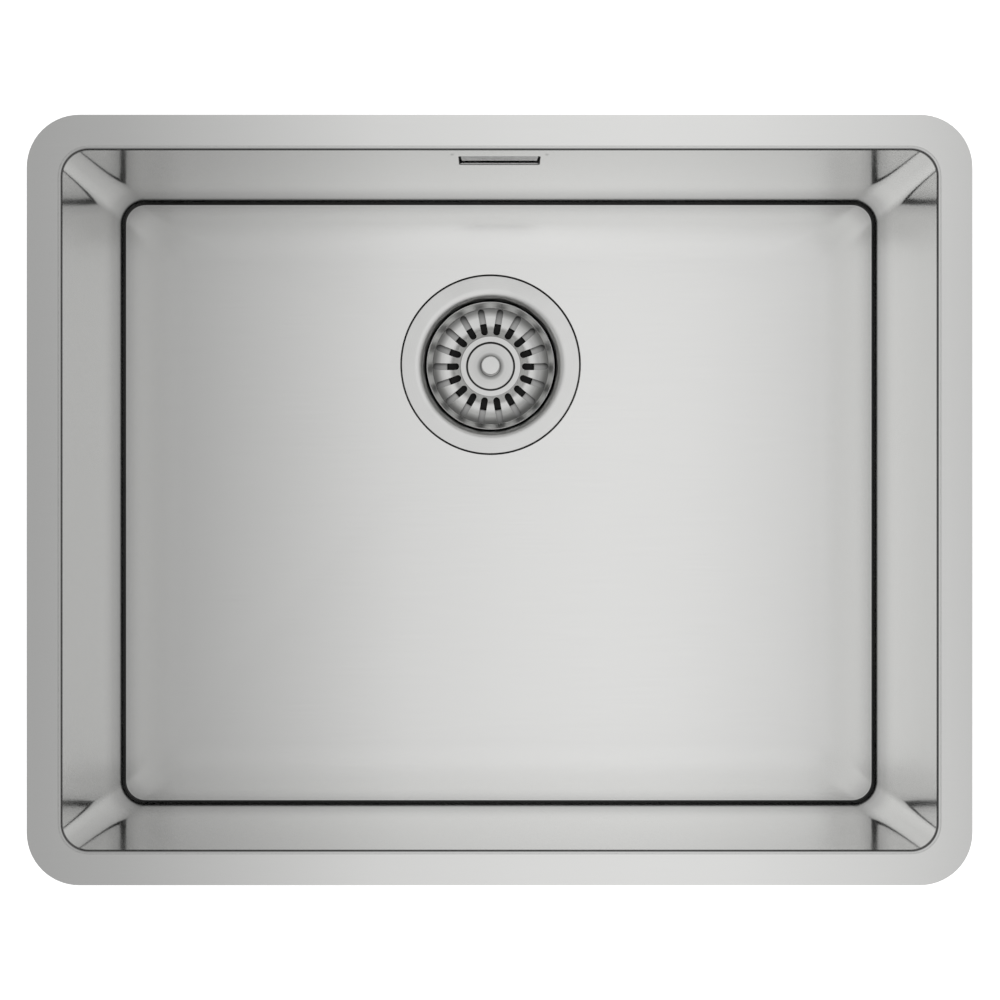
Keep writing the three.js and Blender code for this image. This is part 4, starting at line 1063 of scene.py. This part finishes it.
def hoseStations(total):
    # (distance, radius) along the outside from end to end, then back along the bore
    bore, root, cuff, length = hose["bore"], hose["root"], hose["cuff"], hose["cuffLength"]
    edge, height = hose["cuffEdge"], hose["crest"] - hose["root"]
    ribbed = total - 2 * length
    ribs = round(ribbed / hose["ribPitch"])
    ends = [(0.0, bore), (0.0, cuff - edge), (edge, cuff), (length - hose["cuffEnd"], cuff),
        (length, root)]
    waves = [(length + ribbed * (i + share) / ribs, root + height * lift)
        for i in range(ribs) for share, lift in hose["rib"]]
    count = hose["boreSteps"]
    back = [(total * (1 - i / count), bore) for i in range(1, count)]
    return ends + waves + [(total - distance, radius) for distance, radius in ends[::-1]] + back


def makeHose():
    line = hoseRoute()
    reach = [0]
    for a, b in zip(line, line[1:]):
        reach.append(reach[-1] + (b - a).length)
    bm = bmesh.new()
    bmesh.ops.create_circle(bm, segments=hose["segments"], radius=1, cap_ends=False)
    first = ring = bm.edges[:]
    verts, before = bm.verts[:], whole
    for number, (distance, radius) in enumerate(hoseStations(reach[-1])):
        place, ahead = spotOn(line, reach, distance)
        across = Vector((1, 0, 0))
        across = (across - ahead * across.dot(ahead)).normalized()
        target = Matrix((across, ahead.cross(across), ahead)).transposed().to_4x4()
        target.translation = place
        target = target @ Matrix.Diagonal((radius, radius, 1, 1))
        if number:
            ring, verts = extrudeRing(bm, ring)
        bmesh.ops.transform(bm, matrix=target @ before.inverted(), verts=verts)
        before = target
    bmesh.ops.bridge_loops(bm, edges=ring + first)
    fixNormals(bm)
    makePiece("ribbed_hose", bm, "grey_plastic", "overflow_hose", smooth=60)


collar = {
    "profile": [(11.3, 0, 0.3), (13.5, 0, 0.6), (13.5, 14, 0.6), (11.3, 14, 0.3)], "segments": 4,
    "places": {"upper": at(0, 215.2, -82.7), "lower": at(-5.5, 161.8, -225.5) @ towardBack},
    "notches": 24, "notchRadius": 1.1, "notchLength": 9.6, "notchPlace": (14.1, 0, 8.4),
}


def makeClamps():
    # gripped collars over the cuffs
    for name, place in collar["places"].items():
        piece = makePiece("hose_collar_" + name, turned(collar), "black_plastic",
            "hose_clamp_" + name, place=place)
        notches = bmesh.new()
        for i in range(collar["notches"]):
            drill(notches, collar["notchRadius"], collar["notchLength"], 16,
                partTurn(i + 0.5, collar["notches"]) @ at(*collar["notchPlace"]))
        cutAway(piece, notches, place)
        evenNormals(piece)


makeHose()
makeClamps()
print("hose made")


pads = {
    "names": ["floor_pad_left", "floor_pad_right", "floor_pad_front", "wall_pad_front",
        "wall_pad_left", "wall_pad_right", "wall_pad_back_left", "wall_pad_back_right"],
    "edge": 0.5,
}


def makePads():
    # each pad keeps its solid's shape, with soft cut edges
    for name in pads["names"]:
        bm = bmesh.new()
        bm.from_mesh(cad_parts[name].data)
        bmesh.ops.remove_doubles(bm, verts=bm.verts, dist=1e-6)
        bmesh.ops.scale(bm, vec=(1000, 1000, 1000), verts=bm.verts)
        bmesh.ops.dissolve_limit(bm, angle_limit=math.radians(1), verts=bm.verts, edges=bm.edges)
        roundSharp(bm, pads["edge"], 3, 50)
        makePiece(name.replace("pad", "damping"), bm, "pad_rubber", name, even=True)


makePads()
print("pads made")


# the studio and its camera are in metres
studio = {
    "floor": -0.32, "floorSize": 6, "floorGlow": 0.8, "floorColor": (0.85, 0.85, 0.85, 1),
    "upward": [(0.0, 0.62), (0.35, 0.5), (0.7, 0.42), (1.0, 0.42)], "white": (1, 1, 1, 1),
    "fadeFrom": 3, "fadeTo": 5, "fade": 0.8,
    "panelHeight": 0.12, "panelSize": (1.5, 1.5), "panelLight": 0.44,
    "panelShare": [(0.3, 0.04), (0.34, 0.14), (0.39, 0.43), (0.45, 0.8), (0.51, 0.94), (0.56, 1.0),
        (0.6, 0.97), (0.66, 0.75), (0.71, 0.5), (1.0, 0.4)],
}
lens = {"place": (-0.0032, -0.0108, 1.2035), "length": 75.888, "sensor": 36,
    "shift": (0.006, 0.0189)}


def emptyTree(owner):
    owner.use_nodes = True
    owner.node_tree.nodes.clear()
    bench["tree"] = owner.node_tree


def makeFloor():
    bm = bmesh.new()
    bmesh.ops.create_grid(bm, x_segments=1, y_segments=1, size=studio["floorSize"])
    floor = intoObject("studio_floor", bm, at(0, 0, studio["floor"]))
    finish = bpy.data.materials.new("studio_floor")
    emptyTree(finish)
    seen = node("LightPath").outputs["Is Camera Ray"]
    glow = node("Emission", {"Strength": times(seen, studio["floorGlow"])})
    paint = node("BsdfDiffuse", {"Color": studio["floorColor"]})
    both = node("AddShader", {0: paint.outputs["BSDF"], 1: glow.outputs["Emission"]})
    # clear from below, so that the underside can be looked at
    below = node("NewGeometry").outputs["Backfacing"]
    clear = node("BsdfTransparent")
    sided = node("MixShader", {"Fac": below, 1: both.outputs["Shader"],
        2: clear.outputs["BSDF"]})
    node("OutputMaterial", {"Surface": sided.outputs["Shader"]})
    floor.data.materials.append(finish)


def fadeByBounce(level):
    # light that has already met the steel more than twice counts for less
    depth = node("LightPath").outputs["Ray Depth"]
    fade = mapped(depth, studio["fadeFrom"], studio["fadeTo"], 1, studio["fade"])
    return times(level, fade)


def lightWorld():
    # a grey tent, lighter low down; the camera sees it white
    world = bpy.data.worlds.new("studio")
    bpy.context.scene.world = world
    emptyTree(world)
    height = along(node("TexCoord").outputs["Generated"], "Z")
    level = fadeByBounce(ramp(height, studio["upward"], "B_SPLINE"))
    tent = node("Background", {"Color": studio["white"], "Strength": level})
    white = node("Background", {"Color": studio["white"], "Strength": 1.0})
    mix = node("MixShader", {"Fac": node("LightPath").outputs["Is Camera Ray"],
        1: tent.outputs["Background"], 2: white.outputs["Background"]})
    node("OutputWorld", {"Surface": mix.outputs["Shader"]})


def lightPanel():
    # a wide panel close over the sink, brightest a little right of its middle
    lamp = bpy.data.lights.new("panel", "AREA")
    lamp.shape = "RECTANGLE"
    lamp.size, lamp.size_y = studio["panelSize"]
    lamp.energy = studio["panelLight"] * math.pi * lamp.size * lamp.size_y
    lamp.use_nodes = True
    bench["tree"] = lamp.node_tree
    bench["shader"] = next(n for n in lamp.node_tree.nodes if n.type == "EMISSION")
    across = along(node("NewGeometry").outputs["Parametric"], "X")
    drive("Strength", fadeByBounce(ramp(across, studio["panelShare"])))
    holder = linked("panel", lamp)
    holder.location = (0, 0, studio["panelHeight"])
    holder.visible_camera = False


def placeCamera():
    camera = bpy.data.cameras.new("camera")
    camera.sensor_fit = "HORIZONTAL"
    camera.sensor_width = lens["sensor"]
    camera.lens = lens["length"]
    camera.shift_x, camera.shift_y = lens["shift"]
    holder = linked("camera", camera)
    holder.location = lens["place"]
    bpy.context.scene.camera = holder


makeFloor()
lightWorld()
lightPanel()
placeCamera()
view = bpy.context.scene.view_settings
view.view_transform = "Standard"
print("studio ready")
